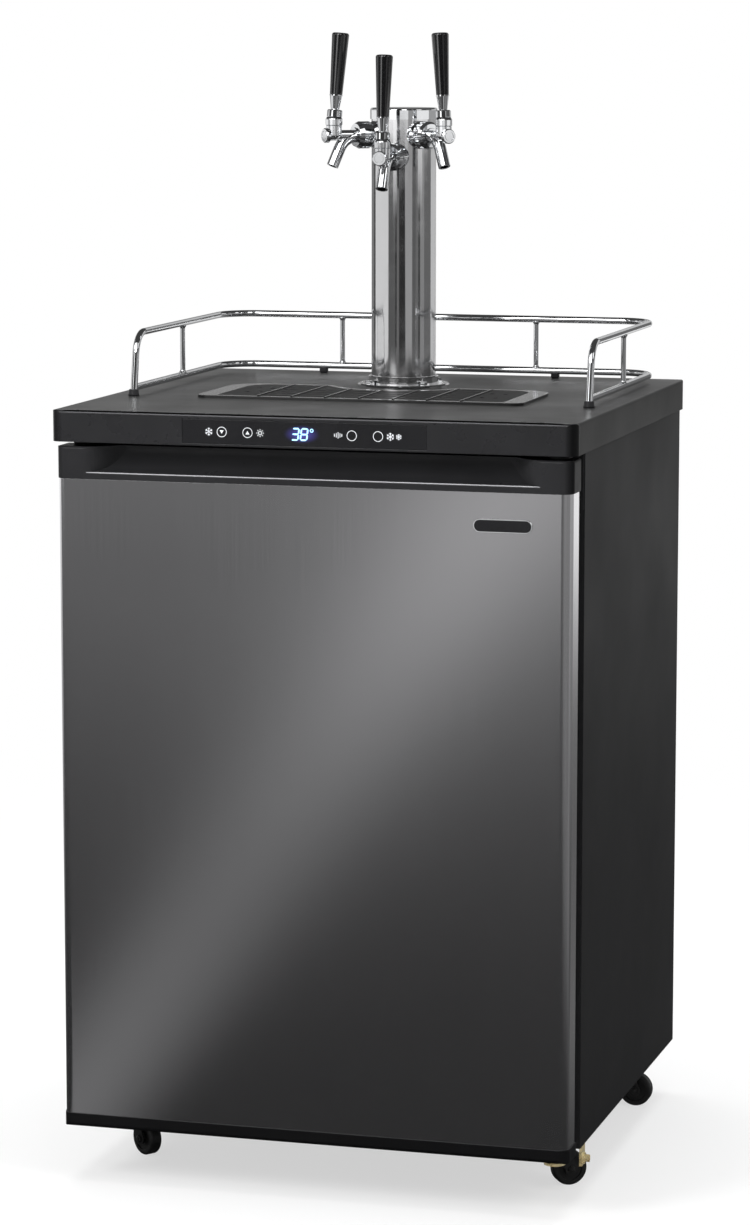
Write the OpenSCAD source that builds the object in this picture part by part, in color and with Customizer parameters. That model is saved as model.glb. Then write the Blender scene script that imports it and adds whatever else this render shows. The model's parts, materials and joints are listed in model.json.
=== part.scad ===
// Keg-cooling cabinet with a drip tray, a guard rail and a three-tap drink tower.
// Millimetres. X is to the right, Y to the back, Z up from the floor, origin under the middle.

/* [Worktop] */
// Width of the worktop
worktop_w = 600; // [570:1:680]
// Depth of the worktop, front fascia included
worktop_d = 572; // [550:1:660]
// Height of the upper face above the floor
worktop_h = 882; // [850:1:930]
// Thickness of the worktop
worktop_t = 35; // [32:1:45]
// Depth of the front fascia strip
fascia_d = 14; // [13:0.5:18]
// Radius of the upright front corners
front_corner_r = 12; // [4:0.5:12]
// Rounding of the upper edges
edge_r = 3; // [1:0.5:5]

/* [Control panel] */
// Width of the control panel
panel_w = 279; // [240:1:340]
// Height of the control panel
panel_h = 27; // [22:0.5:28]
// Middle of the panel, sideways from the cabinet's middle
panel_x = -6; // [-40:1:40]
// Thickness of the panel
panel_t = 3; // [2:0.5:4]
// Radius of a button
button_r = 6; // [4:0.5:8]
// Distance between the two buttons of a pair
button_pitch = 29.7; // [20:0.1:36]
// Distance between the middles of the two pairs
button_pair_pitch = 148.6; // [100:0.1:180]
// Middle of the four buttons, sideways from the cabinet's middle
button_mid_x = -10.5; // [-30:0.5:20]
// Travel of a button
button_travel = 1; // [0.5:0.1:2]

/* [Cabinet] */
// Width of the cabinet
cabinet_w = 590; // [570:1:640]
// Distance of the cabinet's front face behind the worktop's front
cabinet_setback = 62; // [58:0.5:80]
// Distance of the cabinet's back ahead of the worktop's back edge
cabinet_back_inset = 4; // [3:0.5:12]
// Height of the cabinet's lower edge above the floor
cabinet_z = 66; // [62:1:90]
// Thickness of the outer sheet steel
sheet_t = 1.2; // [0.8:0.1:2]
// Foam thickness in the side walls, back and top
foam_t = 37.8; // [30:0.1:46]
// Foam thickness under the floor
floor_foam_t = 44; // [36:1:56]
// Thickness of the moulded liner
liner_t = 2.5; // [1.5:0.1:4]
// Height of the machine bay
bay_h = 193; // [180:1:230]
// Depth of the machine bay
bay_d = 160; // [152:1:190]

/* [Door] */
// Distance of the door's front behind the worktop's front
door_setback = 1.5; // [0.5:0.1:6]
// Depth of the door's cap and bottom trim
door_d = 40.5; // [38:0.5:43]
// Depth of the steel skin's sides
skin_d = 36; // [30:0.5:37.5]
// Distance of the skin inside the cap's outline
skin_inset = 1; // [0.4:0.1:3]
// Gap between the door and the worktop
door_top_gap = 5; // [4.5:0.1:9]
// Height of the door's lower edge above the floor
door_z = 64; // [63.5:0.5:70]
// Height of the grip cap
cap_h = 36; // [34:0.5:44]
// Height of the bottom trim
trim_h = 15.4; // [13:0.1:24]
// Depth of the grip pocket
grip_d = 28; // [22:0.5:30]
// Solid block left at each end of the grip pocket
grip_end_w = 33; // [18:0.5:40]
// Length over which the pocket's ends run out
grip_runout = 45; // [30:1:70]
// Thickness of the door liner's flange
door_liner_t = 6; // [4:0.5:7]
// Height of the raised middle of the door liner
door_panel_rise = 20; // [14:0.5:30]
// Distance of the gasket inside the door's outline
gasket_inset = 21; // [20.5:0.5:24]
// Width of the gasket
gasket_w = 17; // [12:0.5:18]

/* [Hinges] */
// Distance of the hinge pin inside the door's right side
hinge_inset = 19; // [17:0.5:20]
// Distance of the hinge pin behind the worktop's front
hinge_setback = 21; // [19:0.5:23]
// Radius of the hinge pins
hinge_pin_r = 4; // [3:0.1:5]
// Running clearance of the pins, radial
pin_clearance = 0.06; // [0.02:0.01:0.1]
// Thickness of the hinge plates
hinge_plate_t = 3; // [2:0.1:3.4]

/* [Casters] */
// Distance of the swivel axes from the middle, sideways
caster_x = 250; // [235:1:262]
// Front swivel axes, behind the worktop's front
caster_front = 137; // [132:1:170]
// Rear swivel axes, behind the worktop's front
caster_rear = 495; // [470:1:530]
// Radius of a wheel
wheel_r = 20; // [16:0.5:22]
// Width of a wheel
wheel_w = 15; // [10:0.5:20]
// Distance of the wheel's axle behind the swivel axis
caster_trail = 15; // [8:0.5:18]
// Radius of the wheel's axle
axle_r = 3; // [2:0.1:4]
// Radius of the swivel stem
stem_r = 5.5; // [4:0.1:7]

/* [Guard rail] */
// Radius of the two rail tubes
rail_r = 4; // [3:0.1:5]
// Radius of the uprights
upright_r = 3; // [2:0.1:3.5]
// Distance of the side rails from the middle
rail_x = 269; // [250:1:280]
// Foot of the front posts, behind the worktop's front
rail_front = 192; // [150:1:230]
// Distance of the back rail ahead of the worktop's back edge
rail_back_inset = 27; // [20:1:50]
// Height of the upper rail above the worktop
rail_h = 71; // [60:1:100]
// Height of the lower rail above the worktop
lower_rail_h = 9; // [7:0.5:14]
// Bend radius at the top of the front posts
rail_bend_r = 28; // [20:1:36]
// Bend radius at the back corners
rail_corner_r = 42; // [30:1:70]
// Backward lean of the front posts in degrees
rail_lean = 10; // [0:1:15]
// Distance of the back uprights from the middle
back_upright_x = 122; // [80:1:180]
// Distance of the back feet from the middle
back_foot_x = 146; // [130:1:200]

/* [Drip tray] */
// Width of the drip tray
tray_w = 386; // [340:1:440]
// Front edge of the tray, behind the worktop's front
tray_front = 187; // [160:1:200]
// Back edge of the tray, behind the worktop's front
tray_back = 348; // [330:1:360]
// Radius of the tray's front corners
tray_front_r = 12; // [8:1:20]
// Radius of the tray's back corners
tray_back_r = 38; // [30:1:44]
// Radius of the bay round the tower
tray_bay_r = 83; // [70:1:92]
// Thickness of the tray's rim
tray_rim_t = 3; // [2.5:0.1:4]
// Width of the tray's rim at the two ends
tray_end_rim = 24; // [18:1:30]
// Width of the tray's rim at the front and back
tray_side_rim = 8; // [7:0.5:12]
// Depth of the tray below the worktop's face
tray_depth = 18; // [12:1:22]
// Wall of the tray
tray_wall = 2; // [1.5:0.1:3]
// Thickness of the grille plate
grille_t = 1.8; // [1.2:0.1:2]
// Distance between the grille's ribs
grille_pitch = 40; // [30:1:60]

/* [Tower] */
// Tower axis, behind the worktop's front
tower_setback = 386; // [380:1:400]
// Radius of the column
column_r = 38; // [36:0.5:42]
// Wall of the column
column_t = 1.5; // [1:0.1:2.5]
// Height of the tower above the worktop
tower_h = 327; // [310:1:400]
// Radius of the base flange
base_r = 54; // [52:0.5:58]
// Thickness of the base flange
base_t = 5; // [4.5:0.1:8]
// Height of the cap
tower_cap_h = 13; // [10:0.5:13.5]
// Radius of the passage for the drink lines
passage_r = 31; // [26:0.5:33]

/* [Taps] */
// Height of the side taps' shanks below the top of the tower
side_tap_drop = 31; // [31:0.5:40]
// Height of the middle tap's shank below the side taps' shanks
middle_tap_drop = 25; // [24:0.5:40]
// Angle between neighbouring taps in degrees
tap_spread = 45; // [44:1:60]
// Distance of the lever from the tower's axis
tap_reach = 93; // [90:0.5:110]
// Height of the lever's pivot above the shank
pivot_h = 15; // [14.5:0.1:18]
// Backward lean of the levers at rest in degrees
lever_lean = 5; // [0:0.5:5]
// Length of a handle
handle_l = 71; // [50:1:120]
// Radius of a handle's top
handle_top_r = 10; // [8:0.1:16]
// Radius of a handle's foot
handle_foot_r = 7.3; // [6.5:0.1:9]
// Radius of the spout's outside
spout_r = 7; // [6:0.1:7.2]
// Radius of the spout's bore
spout_bore_r = 4.6; // [4:0.1:5]
// Bend radius of the spout
spout_bend_r = 24; // [20:0.5:30]
// Angle of the spout's bend in degrees
spout_turn = 65; // [55:1:80]
// Length of the spout's straight end
spout_end_l = 22; // [16:0.5:34]

/* [Inside] */
// Radius of the compressor's pot
compressor_r = 62; // [50:1:66]
// Sideways place of the compressor
compressor_x = 110; // [60:1:150]
// Width of the evaporator plate
evaporator_w = 320; // [240:1:400]
// Height of the evaporator plate
evaporator_h = 300; // [200:1:360]
// Radius of the gas line's bore
gas_bore_r = 8; // [6:0.1:10]
// Distance of the gas line in from the cabinet's right side
gas_inset = 90; // [70:1:105]
// Height of the gas line above the floor
gas_z = 420; // [360:1:600]

/* [Hidden] */
$fn = 48;

// Clearances and small margins
cut = 1;
seam = 0.3;
fit_gap = 0.05;
loose_gap = 0.35;

// Places along the depth
front_y = -worktop_d / 2;
back_y = worktop_d / 2;
cabinet_front_y = front_y + cabinet_setback;
gas_x = cabinet_w / 2 - gas_inset;
cabinet_back_y = back_y - cabinet_back_inset;
door_y = front_y + door_setback;
door_back_y = door_y + door_d;
door_liner_y = door_back_y + door_liner_t;
tower_y = front_y + tower_setback;
rail_back_y = back_y - rail_back_inset;

// Places along the height
cabinet_top_z = worktop_h - worktop_t;
door_top_z = cabinet_top_z - door_top_gap;
cap_z = door_top_z - cap_h;
skin_z = door_z + trim_h;
bay_top_z = cabinet_z + bay_h;
rail_z = worktop_h + rail_h;
lower_rail_z = worktop_h + lower_rail_h;
tower_top_z = worktop_h + tower_h;

// Inside faces of the liner
inner_x = cabinet_w / 2 - sheet_t - foam_t - liner_t;
inner_front_y = cabinet_front_y + sheet_t;
inner_back_y = cabinet_back_y - sheet_t - foam_t - liner_t;
base_t_plate = 2;
inner_floor_z = cabinet_z + base_t_plate + floor_foam_t + liner_t;
inner_top_z = cabinet_top_z - sheet_t - foam_t - liner_t;
hump_y = cabinet_back_y - bay_d - sheet_t - foam_t - liner_t;
hump_z = bay_top_z + sheet_t + foam_t + liner_t;

// Hinge pin
hinge_x = cabinet_w / 2 - hinge_inset;
hinge_y = front_y + hinge_setback;
hinge_bore_depth = 12;

// Steel of the front posts: places in the upright plane that holds a post
rail_turn = 90 - rail_lean;
rail_bend_z = rail_z - rail_bend_r;
post_top_z = rail_bend_z + rail_bend_r * cos(rail_turn);
post_run = (post_top_z - worktop_h) * tan(rail_lean);
rail_bend_y = round(20 * (front_y + rail_front + post_run + rail_bend_r * sin(rail_turn))) / 20;
post_embed = 14;
post_lap = 1;
post_step = 0.05;
post_l = (post_top_z - worktop_h + post_embed) / cos(rail_lean);
side_upright_y = (front_y + rail_front + rail_back_y) / 2;

// Taps: heights and directions, left to right
tap_names = ["left", "middle", "right"];
side_tap_z = tower_top_z - side_tap_drop;
tap_z = [side_tap_z, side_tap_z - middle_tap_drop, side_tap_z];
tap_dir = [-90 - tap_spread, -90, -90 + tap_spread];

// Tap pieces along the shank, measured from the tower's axis
shank_r = 11;
shank_bore_r = 4;
shank_tail = 22;
shank_end = 58;
shank_flange_r = 16;
shank_flange_end = column_r + 3;
shank_dome_end = column_r + 7;
shank_nut_r = 14;
nut_start = column_r + 9;
nut_end = 65;
nut_r = 15.8;
nut_lip = 3.8;
nut_hole_r = 8.8;
collar_r = 10.5;
neck_r = 8.3;
neck_end = 67;
barrel_r = 6;
barrel_end = tap_reach + 8;
nose_r = 8.5;
nose_end = tap_reach + 13;
nose_edge = 1;
nose_ring_r = 5.6;
nose_ring_w = 0.7;
nose_ring_d = 0.5;
spout_root = 64;
spout_sink = 1.5;
boss_r = 9.2;
boss_bore_r = 7.2;
boss_h = pivot_h - 4;
boss_chin = 4;

// Lever pieces, measured along the lever from its pivot
ball_r = 5.5;
tail_r = 2.2;
tail_l = pivot_h;
stem_lever_r = 3.2;
bonnet_r = 9.85;
bonnet_dome_r = 10.5;
bonnet_open = 51;
bonnet_edge = 1.2;
lever_collar_r = 8.85;
lever_collar_edge = 1;
lever_collar_top = 14.5;
ferrule_l = 17.5;
ferrule_foot_r = 4.8;
handle_start = lever_collar_top + ferrule_l;
plunger_r = spout_bore_r - loose_gap;
plunger_front = 7.5;
plunger_back = 19;
plunger_slot = 4.4;

// Casters: name, side, depth and the swivel angle at which each one stands
caster_names = ["front_left", "front_right", "rear_left", "rear_right"];
caster_side = [-1, 1, -1, 1];
caster_y = [front_y + caster_front, front_y + caster_front, front_y + caster_rear, front_y + caster_rear];
caster_angle = [-36, 32, 20, 0];
fork_wall = 2.5;
fork_gap = 1.2;
fork_top_z = 2 * wheel_r + 8;
fork_crown = 5;
pad_z = fork_top_z + loose_gap;
pad_r = 17;
socket_r = stem_r + 3.5;
socket_top = 16;

// Grip pocket: run-out curve of the ends in plan, from the front face to full depth
grip_steps = 12;
function grip_ease(t) = (1 - cos(180 * t)) / 2;
grip_half = cabinet_w / 2 - grip_end_w;
grip_curve = [for (i = [0:grip_steps])
    [grip_half - grip_runout * i / grip_steps, grip_d * grip_ease(i / grip_steps)]];

// Plane shape: rectangle round its middle with rounded corners
module round_rect(w, d, r) {
    square([w - 2 * r, d], center = true);
    square([w, d - 2 * r], center = true);
    for (sx = [-1, 1], sy = [-1, 1])
        translate([sx * (w / 2 - r), sy * (d / 2 - r)])
            circle(r);
}

// Plane shape: rectangle on the X axis, its two upper corners rounded
module arch_rect(w, h, r) {
    translate([-w / 2, 0])
        square([w, h - r]);
    translate([r - w / 2, 0])
        square([w - 2 * r, h]);
    for (s = [-1, 1])
        translate([s * (w / 2 - r), h - r])
            circle(r);
}

// Box from a low corner to a high corner
module span(low, high) {
    translate(low)
        cube(high - low);
}

// Cylinder along X from one place to another
module bar_x(start, end, r) {
    translate([start, 0, 0])
        rotate([0, 90, 0])
            cylinder(h = end - start, r = r);
}

// Cone along X
module cone_x(start, end, r_start, r_end) {
    translate([start, 0, 0])
        rotate([0, 90, 0])
            cylinder(h = end - start, r1 = r_start, r2 = r_end);
}

// Bent tube, in the XY plane, from the X axis onwards
module elbow(bend_r, r, angle) {
    rotate_extrude(angle = angle)
        translate([bend_r, 0])
            circle(r);
}

// Rectangular frame in the XZ plane, built backwards from y
module frame_xz(x_out, z_low, z_high, width, y, depth) {
    difference() {
        span([-x_out, y, z_low], [x_out, y + depth, z_high]);
        span([width - x_out, y - cut, z_low + width], [x_out - width, y + depth + cut, z_high - width]);
    }
}

// Board of the worktop and fascia together, upper edges and corners rounded
module worktop_blank() {
    intersection() {
        translate([0, 0, cabinet_top_z])
            linear_extrude(worktop_t)
                round_rect(worktop_w, worktop_d, front_corner_r);
        translate([0, back_y + cut, cabinet_top_z])
            rotate([90, 0, 0])
                linear_extrude(worktop_d + 2 * cut)
                    arch_rect(worktop_w, worktop_t, edge_r);
        translate([-worktop_w / 2 - cut, 0, cabinet_top_z])
            rotate([90, 0, 90])
                linear_extrude(worktop_w + 2 * cut)
                    arch_rect(worktop_d, worktop_t, edge_r);
    }
}

// Outline of the drip tray, drawn in by an end margin and a side margin
module tray_outline(end_in, side_in) {
    half_w = tray_w / 2 - end_in;
    y_front = front_y + tray_front + side_in;
    y_back = front_y + tray_back - side_in;
    r_front = max(tray_front_r - side_in, 3);
    r_back = max(tray_back_r - side_in, 8);
    difference() {
        union() {
            translate([-half_w, y_front + r_front])
                square([2 * half_w, y_back - y_front - r_front - r_back]);
            translate([r_front - half_w, y_front])
                square([2 * (half_w - r_front), r_front + cut]);
            translate([r_back - half_w, y_back - r_back - cut])
                square([2 * (half_w - r_back), r_back + cut]);
            for (s = [-1, 1]) {
                translate([s * (half_w - r_front), y_front + r_front])
                    circle(r_front);
                translate([s * (half_w - r_back), y_back - r_back])
                    circle(r_back);
            }
        }
        translate([0, tower_y])
            circle(tray_bay_r + side_in);
    }
}

tray_body_in = tray_side_rim - 2;
tray_body_end_in = tray_end_rim - 4;
pocket_gap = 1;

module worktop() {
    color("#3b3b3d")
        difference() {
            worktop_blank();
            span([-worktop_w, front_y - cut, cabinet_top_z - cut],
                [worktop_w, front_y + fascia_d + seam, worktop_h + cut]);
            translate([0, 0, worktop_h - tray_depth - pocket_gap])
                linear_extrude(tray_depth + pocket_gap + cut)
                    tray_outline(tray_body_end_in - pocket_gap, tray_body_in - pocket_gap);
            translate([0, tower_y, cabinet_top_z - cut])
                cylinder(h = worktop_t + 2 * cut, r = passage_r);
            tower_bolt_shanks(bolt_hole_r);
            for (s = [-1, 1])
                rail_post(s, rail_r + loose_gap);
        }
}

panel_ledge = 4;
board_depth = 5;
panel_z = cabinet_top_z + worktop_t / 2 - 1.5;
panel_set = 0.3;

module panel_block(w, h, y_start, depth) {
    span([panel_x - w / 2, y_start, panel_z - h / 2], [panel_x + w / 2, y_start + depth, panel_z + h / 2]);
}

module control_fascia() {
    color("#232326")
        difference() {
            intersection() {
                worktop_blank();
                span([-worktop_w, front_y - cut, cabinet_top_z - cut],
                    [worktop_w, front_y + fascia_d, worktop_h + cut]);
            }
            panel_block(panel_w, panel_h, front_y - cut, panel_set + panel_t + cut);
            panel_block(panel_w - 2 * panel_ledge, panel_h - 2 * panel_ledge, front_y,
                panel_set + panel_t + board_depth);
        }
}

button_x = [for (p = [-1, 1], b = [-1, 1]) button_mid_x + p * button_pair_pitch / 2 + b * button_pitch / 2];
button_z = panel_z;

module control_panel() {
    color("#1b1b1e")
        difference() {
            panel_block(panel_w - 2 * fit_gap, panel_h - 2 * fit_gap, front_y + panel_set, panel_t);
            for (x = button_x)
                translate([x, front_y, button_z])
                    rotate([-90, 0, 0])
                        cylinder(h = panel_t + 2 * cut, r = button_r + loose_gap);
        }
}

button_flange_t = 1;
button_flange_w = 1.6;

module button(i) {
    color("#2a2a2d")
        translate([button_x[i], front_y + panel_set / 2, button_z])
            rotate([-90, 0, 0]) {
                cylinder(h = panel_set / 2 + panel_t + loose_gap + button_flange_t, r = button_r);
                translate([0, 0, panel_set / 2 + panel_t + loose_gap])
                    cylinder(h = button_flange_t, r = button_r + button_flange_w);
            }
}

// Front post of the guard rail, from inside the bend's end down into the worktop
module rail_post(side, r) {
    translate([side * rail_x, rail_bend_y, rail_bend_z])
        rotate([90, 0, 90])
            rotate([0, 0, 90 + rail_turn])
                translate([rail_bend_r, -post_lap, 0])
                    rotate([-90, 0, 0])
                        cylinder(h = post_l + post_lap, r = r);
}

// Level run round three sides, from a place on the sides to the back
module rail_run(start_y, z, r) {
    corner_y = rail_back_y - rail_corner_r;
    corner_x = rail_x - rail_corner_r;
    translate([-corner_x, rail_back_y, z])
        rotate([0, 0, 90])
            rotate([90, 0, 0])
                cylinder(h = 2 * corner_x, r = r);
    for (s = [-1, 1]) {
        translate([s * corner_x, corner_y, z])
            rotate([0, 0, s > 0 ? 0 : 90])
                elbow(rail_corner_r, r, 90);
        translate([s * rail_x, corner_y, z])
            rotate([90, 0, 0])
                cylinder(h = corner_y - start_y, r = r);
    }
}

module upper_rail() {
    color("#d4d6da") {
        rail_run(rail_bend_y, rail_z, rail_r);
        for (s = [-1, 1]) {
            translate([s * rail_x, rail_bend_y, rail_bend_z])
                rotate([90, 0, 90])
                    rotate([0, 0, 90])
                        elbow(rail_bend_r, rail_r, rail_turn);
            rail_post(s, rail_r - post_step);
        }
    }
}

module lower_rail() {
    color("#d4d6da")
        difference() {
            rail_run(front_y + rail_front + lower_rail_h * tan(rail_lean), lower_rail_z, rail_r);
            for (s = [-1, 1])
                rail_post(s, rail_r + fit_gap);
        }
}

module upright(x, y, along_x) {
    translate([x, y, lower_rail_z])
        difference() {
            cylinder(h = rail_z - lower_rail_z, r = upright_r);
            for (z = [0, rail_z - lower_rail_z])
                translate([0, 0, z])
                    rotate([90, 0, along_x ? 90 : 0])
                        cylinder(h = 4 * rail_r, r = rail_r + fit_gap, center = true);
        }
}

module rail_uprights() {
    color("#d4d6da")
        for (s = [-1, 1]) {
            upright(s * rail_x, side_upright_y, false);
            upright(s * back_upright_x, rail_back_y, true);
        }
}

grommet_r = 8;
grommet_h = 4;
foot_w = 11;
foot_d = 9;

module rail_feet() {
    color("#151516")
        for (s = [-1, 1]) {
            difference() {
                translate([s * rail_x, front_y + rail_front, worktop_h])
                    cylinder(h = grommet_h, r = grommet_r);
                rail_post(s, rail_r + fit_gap);
            }
            difference() {
                translate([s * back_foot_x - foot_w / 2, rail_back_y - foot_d / 2, worktop_h])
                    cube([foot_w, foot_d, lower_rail_h - rail_r / 2]);
                translate([0, rail_back_y, lower_rail_z])
                    bar_x(-rail_x, rail_x, rail_r + fit_gap);
            }
        }
}

grille_end_in = tray_end_rim;
grille_side_in = tray_side_rim;
grille_seat_gap = 0.4;
grille_seat_z = worktop_h + tray_rim_t - grille_t;
tray_ledge = 3;

module drip_tray() {
    color("#1c1c1e")
        difference() {
            union() {
                translate([0, 0, worktop_h])
                    linear_extrude(tray_rim_t)
                        tray_outline(0, 0);
                translate([0, 0, worktop_h - tray_depth])
                    linear_extrude(tray_depth + cut)
                        tray_outline(tray_body_end_in, tray_body_in);
            }
            translate([0, 0, grille_seat_z])
                linear_extrude(tray_rim_t + cut)
                    tray_outline(grille_end_in - grille_seat_gap, grille_side_in - grille_seat_gap);
            translate([0, 0, worktop_h - tray_depth + tray_wall])
                linear_extrude(tray_depth + tray_rim_t)
                    tray_outline(grille_end_in + tray_ledge, grille_side_in + tray_ledge);
        }
}

rib_w = 2;
rib_h = 1;
slot_w = 4;
slot_rows = 6;
slot_side = 6;
drain_r = 3;
grille_bays = floor((tray_w / 2 - grille_end_in - grille_pitch / 2) / grille_pitch);

// Rounded slot along X
module slot(l, w, h) {
    linear_extrude(h) {
        square([l - w, w], center = true);
        for (s = [-1, 1])
            translate([s * (l - w) / 2, 0])
                circle(w / 2);
    }
}

module drip_grille() {
    y_low = front_y + tray_front + grille_side_in;
    y_high = front_y + tray_back - grille_side_in;
    row = (y_high - y_low) / slot_rows;
    slot_l = grille_pitch - rib_w - slot_side;
    end_x = (grille_bays + 1) * grille_pitch;
    color("#111112")
        difference() {
            union() {
                translate([0, 0, grille_seat_z])
                    linear_extrude(grille_t)
                        tray_outline(grille_end_in, grille_side_in);
                intersection() {
                    translate([0, 0, grille_seat_z])
                        linear_extrude(grille_t + rib_h)
                            tray_outline(grille_end_in, grille_side_in);
                    for (i = [-grille_bays:grille_bays])
                        span([i * grille_pitch - rib_w / 2, y_low, grille_seat_z],
                            [i * grille_pitch + rib_w / 2, y_high, grille_seat_z + grille_t + rib_h]);
                }
            }
            for (i = [-grille_bays:grille_bays - 1], k = [0:slot_rows - 1]) {
                x = (i + 0.5) * grille_pitch;
                y = y_low + (k + 0.5) * row;
                if (norm([abs(x) - slot_l / 2, y - tower_y]) > tray_bay_r + grille_side_in + slot_w)
                    translate([x, y, grille_seat_z - cut])
                        slot(slot_l, slot_w, grille_t + 2 * cut);
            }
            for (s = [-1, 1], a = [-1, 1], b = [-1, 1])
                translate([s * (end_x - grille_pitch / 2) + a * grille_pitch / 5,
                        (y_low + y_high) / 2 + b * row, grille_seat_z - cut])
                    cylinder(h = grille_t + 2 * cut, r = drain_r);
        }
}

bolt_r = 2.4;
bolt_hole_r = bolt_r + loose_gap;
bolt_l = 20;
bolt_circle_r = 47;
bolt_head_r = 4.6;
bolt_head_h = 4;
collar_h = 9;
collar_t = 3;
base_seat = 3;

module tower_bolt_shanks(r) {
    for (a = [45:90:315])
        translate([bolt_circle_r * cos(a), tower_y + bolt_circle_r * sin(a), worktop_h - bolt_l])
            cylinder(h = bolt_l + base_t + cut, r = r);
}

module tower_base() {
    color("#d9dbdf")
        difference() {
            translate([0, tower_y, worktop_h]) {
                cylinder(h = base_t - 1.5, r = base_r);
                translate([0, 0, base_t - 1.5])
                    cylinder(h = 1.5, r1 = base_r, r2 = base_r - 1.5);
                cylinder(h = base_t + collar_h - 1, r = column_r + collar_t);
                translate([0, 0, base_t + collar_h - 1])
                    cylinder(h = 1, r1 = column_r + collar_t, r2 = column_r + collar_t - 1);
            }
            translate([0, tower_y, worktop_h - cut])
                cylinder(h = base_t + collar_h + 2 * cut, r = column_r - column_t);
            translate([0, tower_y, worktop_h + base_seat])
                cylinder(h = base_t + collar_h, r = column_r + fit_gap);
            tower_bolt_shanks(bolt_hole_r);
        }
}

module tower_bolts() {
    color("#e3e4e8")
        for (a = [45:90:315])
            translate([bolt_circle_r * cos(a), tower_y + bolt_circle_r * sin(a), worktop_h]) {
                translate([0, 0, 1 - bolt_l])
                    cylinder(h = bolt_l + base_t, r = bolt_r);
                translate([0, 0, base_t])
                    cylinder(h = bolt_head_h, r = bolt_head_r, $fn = 6);
            }
}

// Puts a tap's own frame in place: X outwards from the column, Z up
module at_tap(i) {
    translate([0, tower_y, tap_z[i]])
        rotate([0, 0, tap_dir[i]])
            children();
}

cap_skirt_t = 1.4;
cap_lid_t = 3;
cap_edge_r = 2.5;

module tower_column() {
    base_z = worktop_h + base_seat;
    color("#cfd1d5")
        difference() {
            translate([0, tower_y, base_z])
                cylinder(h = tower_top_z - cap_lid_t - base_z, r = column_r);
            translate([0, tower_y, base_z - cut])
                cylinder(h = tower_h, r = column_r - column_t);
            for (i = [0:2])
                at_tap(i)
                    bar_x(0, column_r + cut, shank_r + loose_gap);
        }
}

module tower_cap() {
    r = column_r + cap_skirt_t;
    color("#d4d6da")
        translate([0, tower_y, tower_top_z - tower_cap_h])
            difference() {
                union() {
                    cylinder(h = tower_cap_h - cap_edge_r, r = r);
                    translate([0, 0, tower_cap_h - cap_edge_r])
                        rotate_extrude() {
                            square([r - cap_edge_r, cap_edge_r]);
                            intersection() {
                                translate([r - cap_edge_r, 0])
                                    circle(cap_edge_r);
                                square([r, cap_edge_r]);
                            }
                        }
                }
                translate([0, 0, -cut])
                    cylinder(h = tower_cap_h - cap_lid_t + cut, r = column_r + fit_gap);
            }
}

module tap_shank() {
    difference() {
        union() {
            bar_x(shank_tail, shank_end, shank_r);
            difference() {
                union() {
                    bar_x(column_r / 2, shank_flange_end, shank_flange_r);
                    cone_x(shank_flange_end, shank_dome_end, shank_flange_r, shank_flange_r - 3);
                }
                cylinder(h = 4 * shank_flange_r, r = column_r + fit_gap, center = true);
            }
        }
        bar_x(shank_tail - cut, shank_end + cut, shank_bore_r);
    }
}

// Lock nut on the shank, inside the column
module shank_nut() {
    difference() {
        intersection() {
            translate([shank_tail + 3, 0, 0])
                rotate([0, 90, 0])
                    cylinder(h = column_r, r = shank_nut_r, $fn = 6);
            cylinder(h = 4 * shank_nut_r, r = column_r - column_t - fit_gap, center = true);
        }
        bar_x(0, column_r, shank_r + fit_gap);
    }
}

module tap_shanks() {
    color("#c8cace")
        for (i = [0:2])
            at_tap(i) {
                tap_shank();
                shank_nut();
            }
}

nut_chamfer = 1.2;
nut_shoulder = 5;
nut_notches = 6;
notch_r = 2.4;

module coupling_nut() {
    lip_start = nut_end - nut_lip;
    difference() {
        union() {
            cone_x(nut_start, nut_start + nut_chamfer, nut_r - nut_chamfer, nut_r);
            bar_x(nut_start + nut_chamfer, nut_end - nut_shoulder, nut_r);
            cone_x(nut_end - nut_shoulder, nut_end, nut_r, nut_r - nut_shoulder / 2);
        }
        bar_x(nut_start - cut, lip_start, shank_r + fit_gap);
        bar_x(nut_start, nut_end + cut, nut_hole_r);
        for (k = [0:nut_notches - 1])
            rotate([(k + 0.5) * 360 / nut_notches, 0, 0])
                translate([0, 0, nut_r])
                    bar_x(nut_start - cut, nut_end - nut_shoulder, notch_r);
    }
}

module coupling_nuts() {
    color("#d4d6da")
        for (i = [0:2])
            at_tap(i)
                coupling_nut();
}

// Spout tube: bend, then a straight end; outer surface or bore by radius
module spout(r, extra) {
    translate([spout_root, 0, -spout_sink - spout_bend_r])
        rotate([90, 0, 0])
            rotate([0, 0, 90 - spout_turn]) {
                elbow(spout_bend_r, r, spout_turn);
                translate([spout_bend_r, 0, 0])
                    rotate([90, 0, 0])
                        cylinder(h = spout_end_l + extra, r = r);
            }
}

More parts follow.
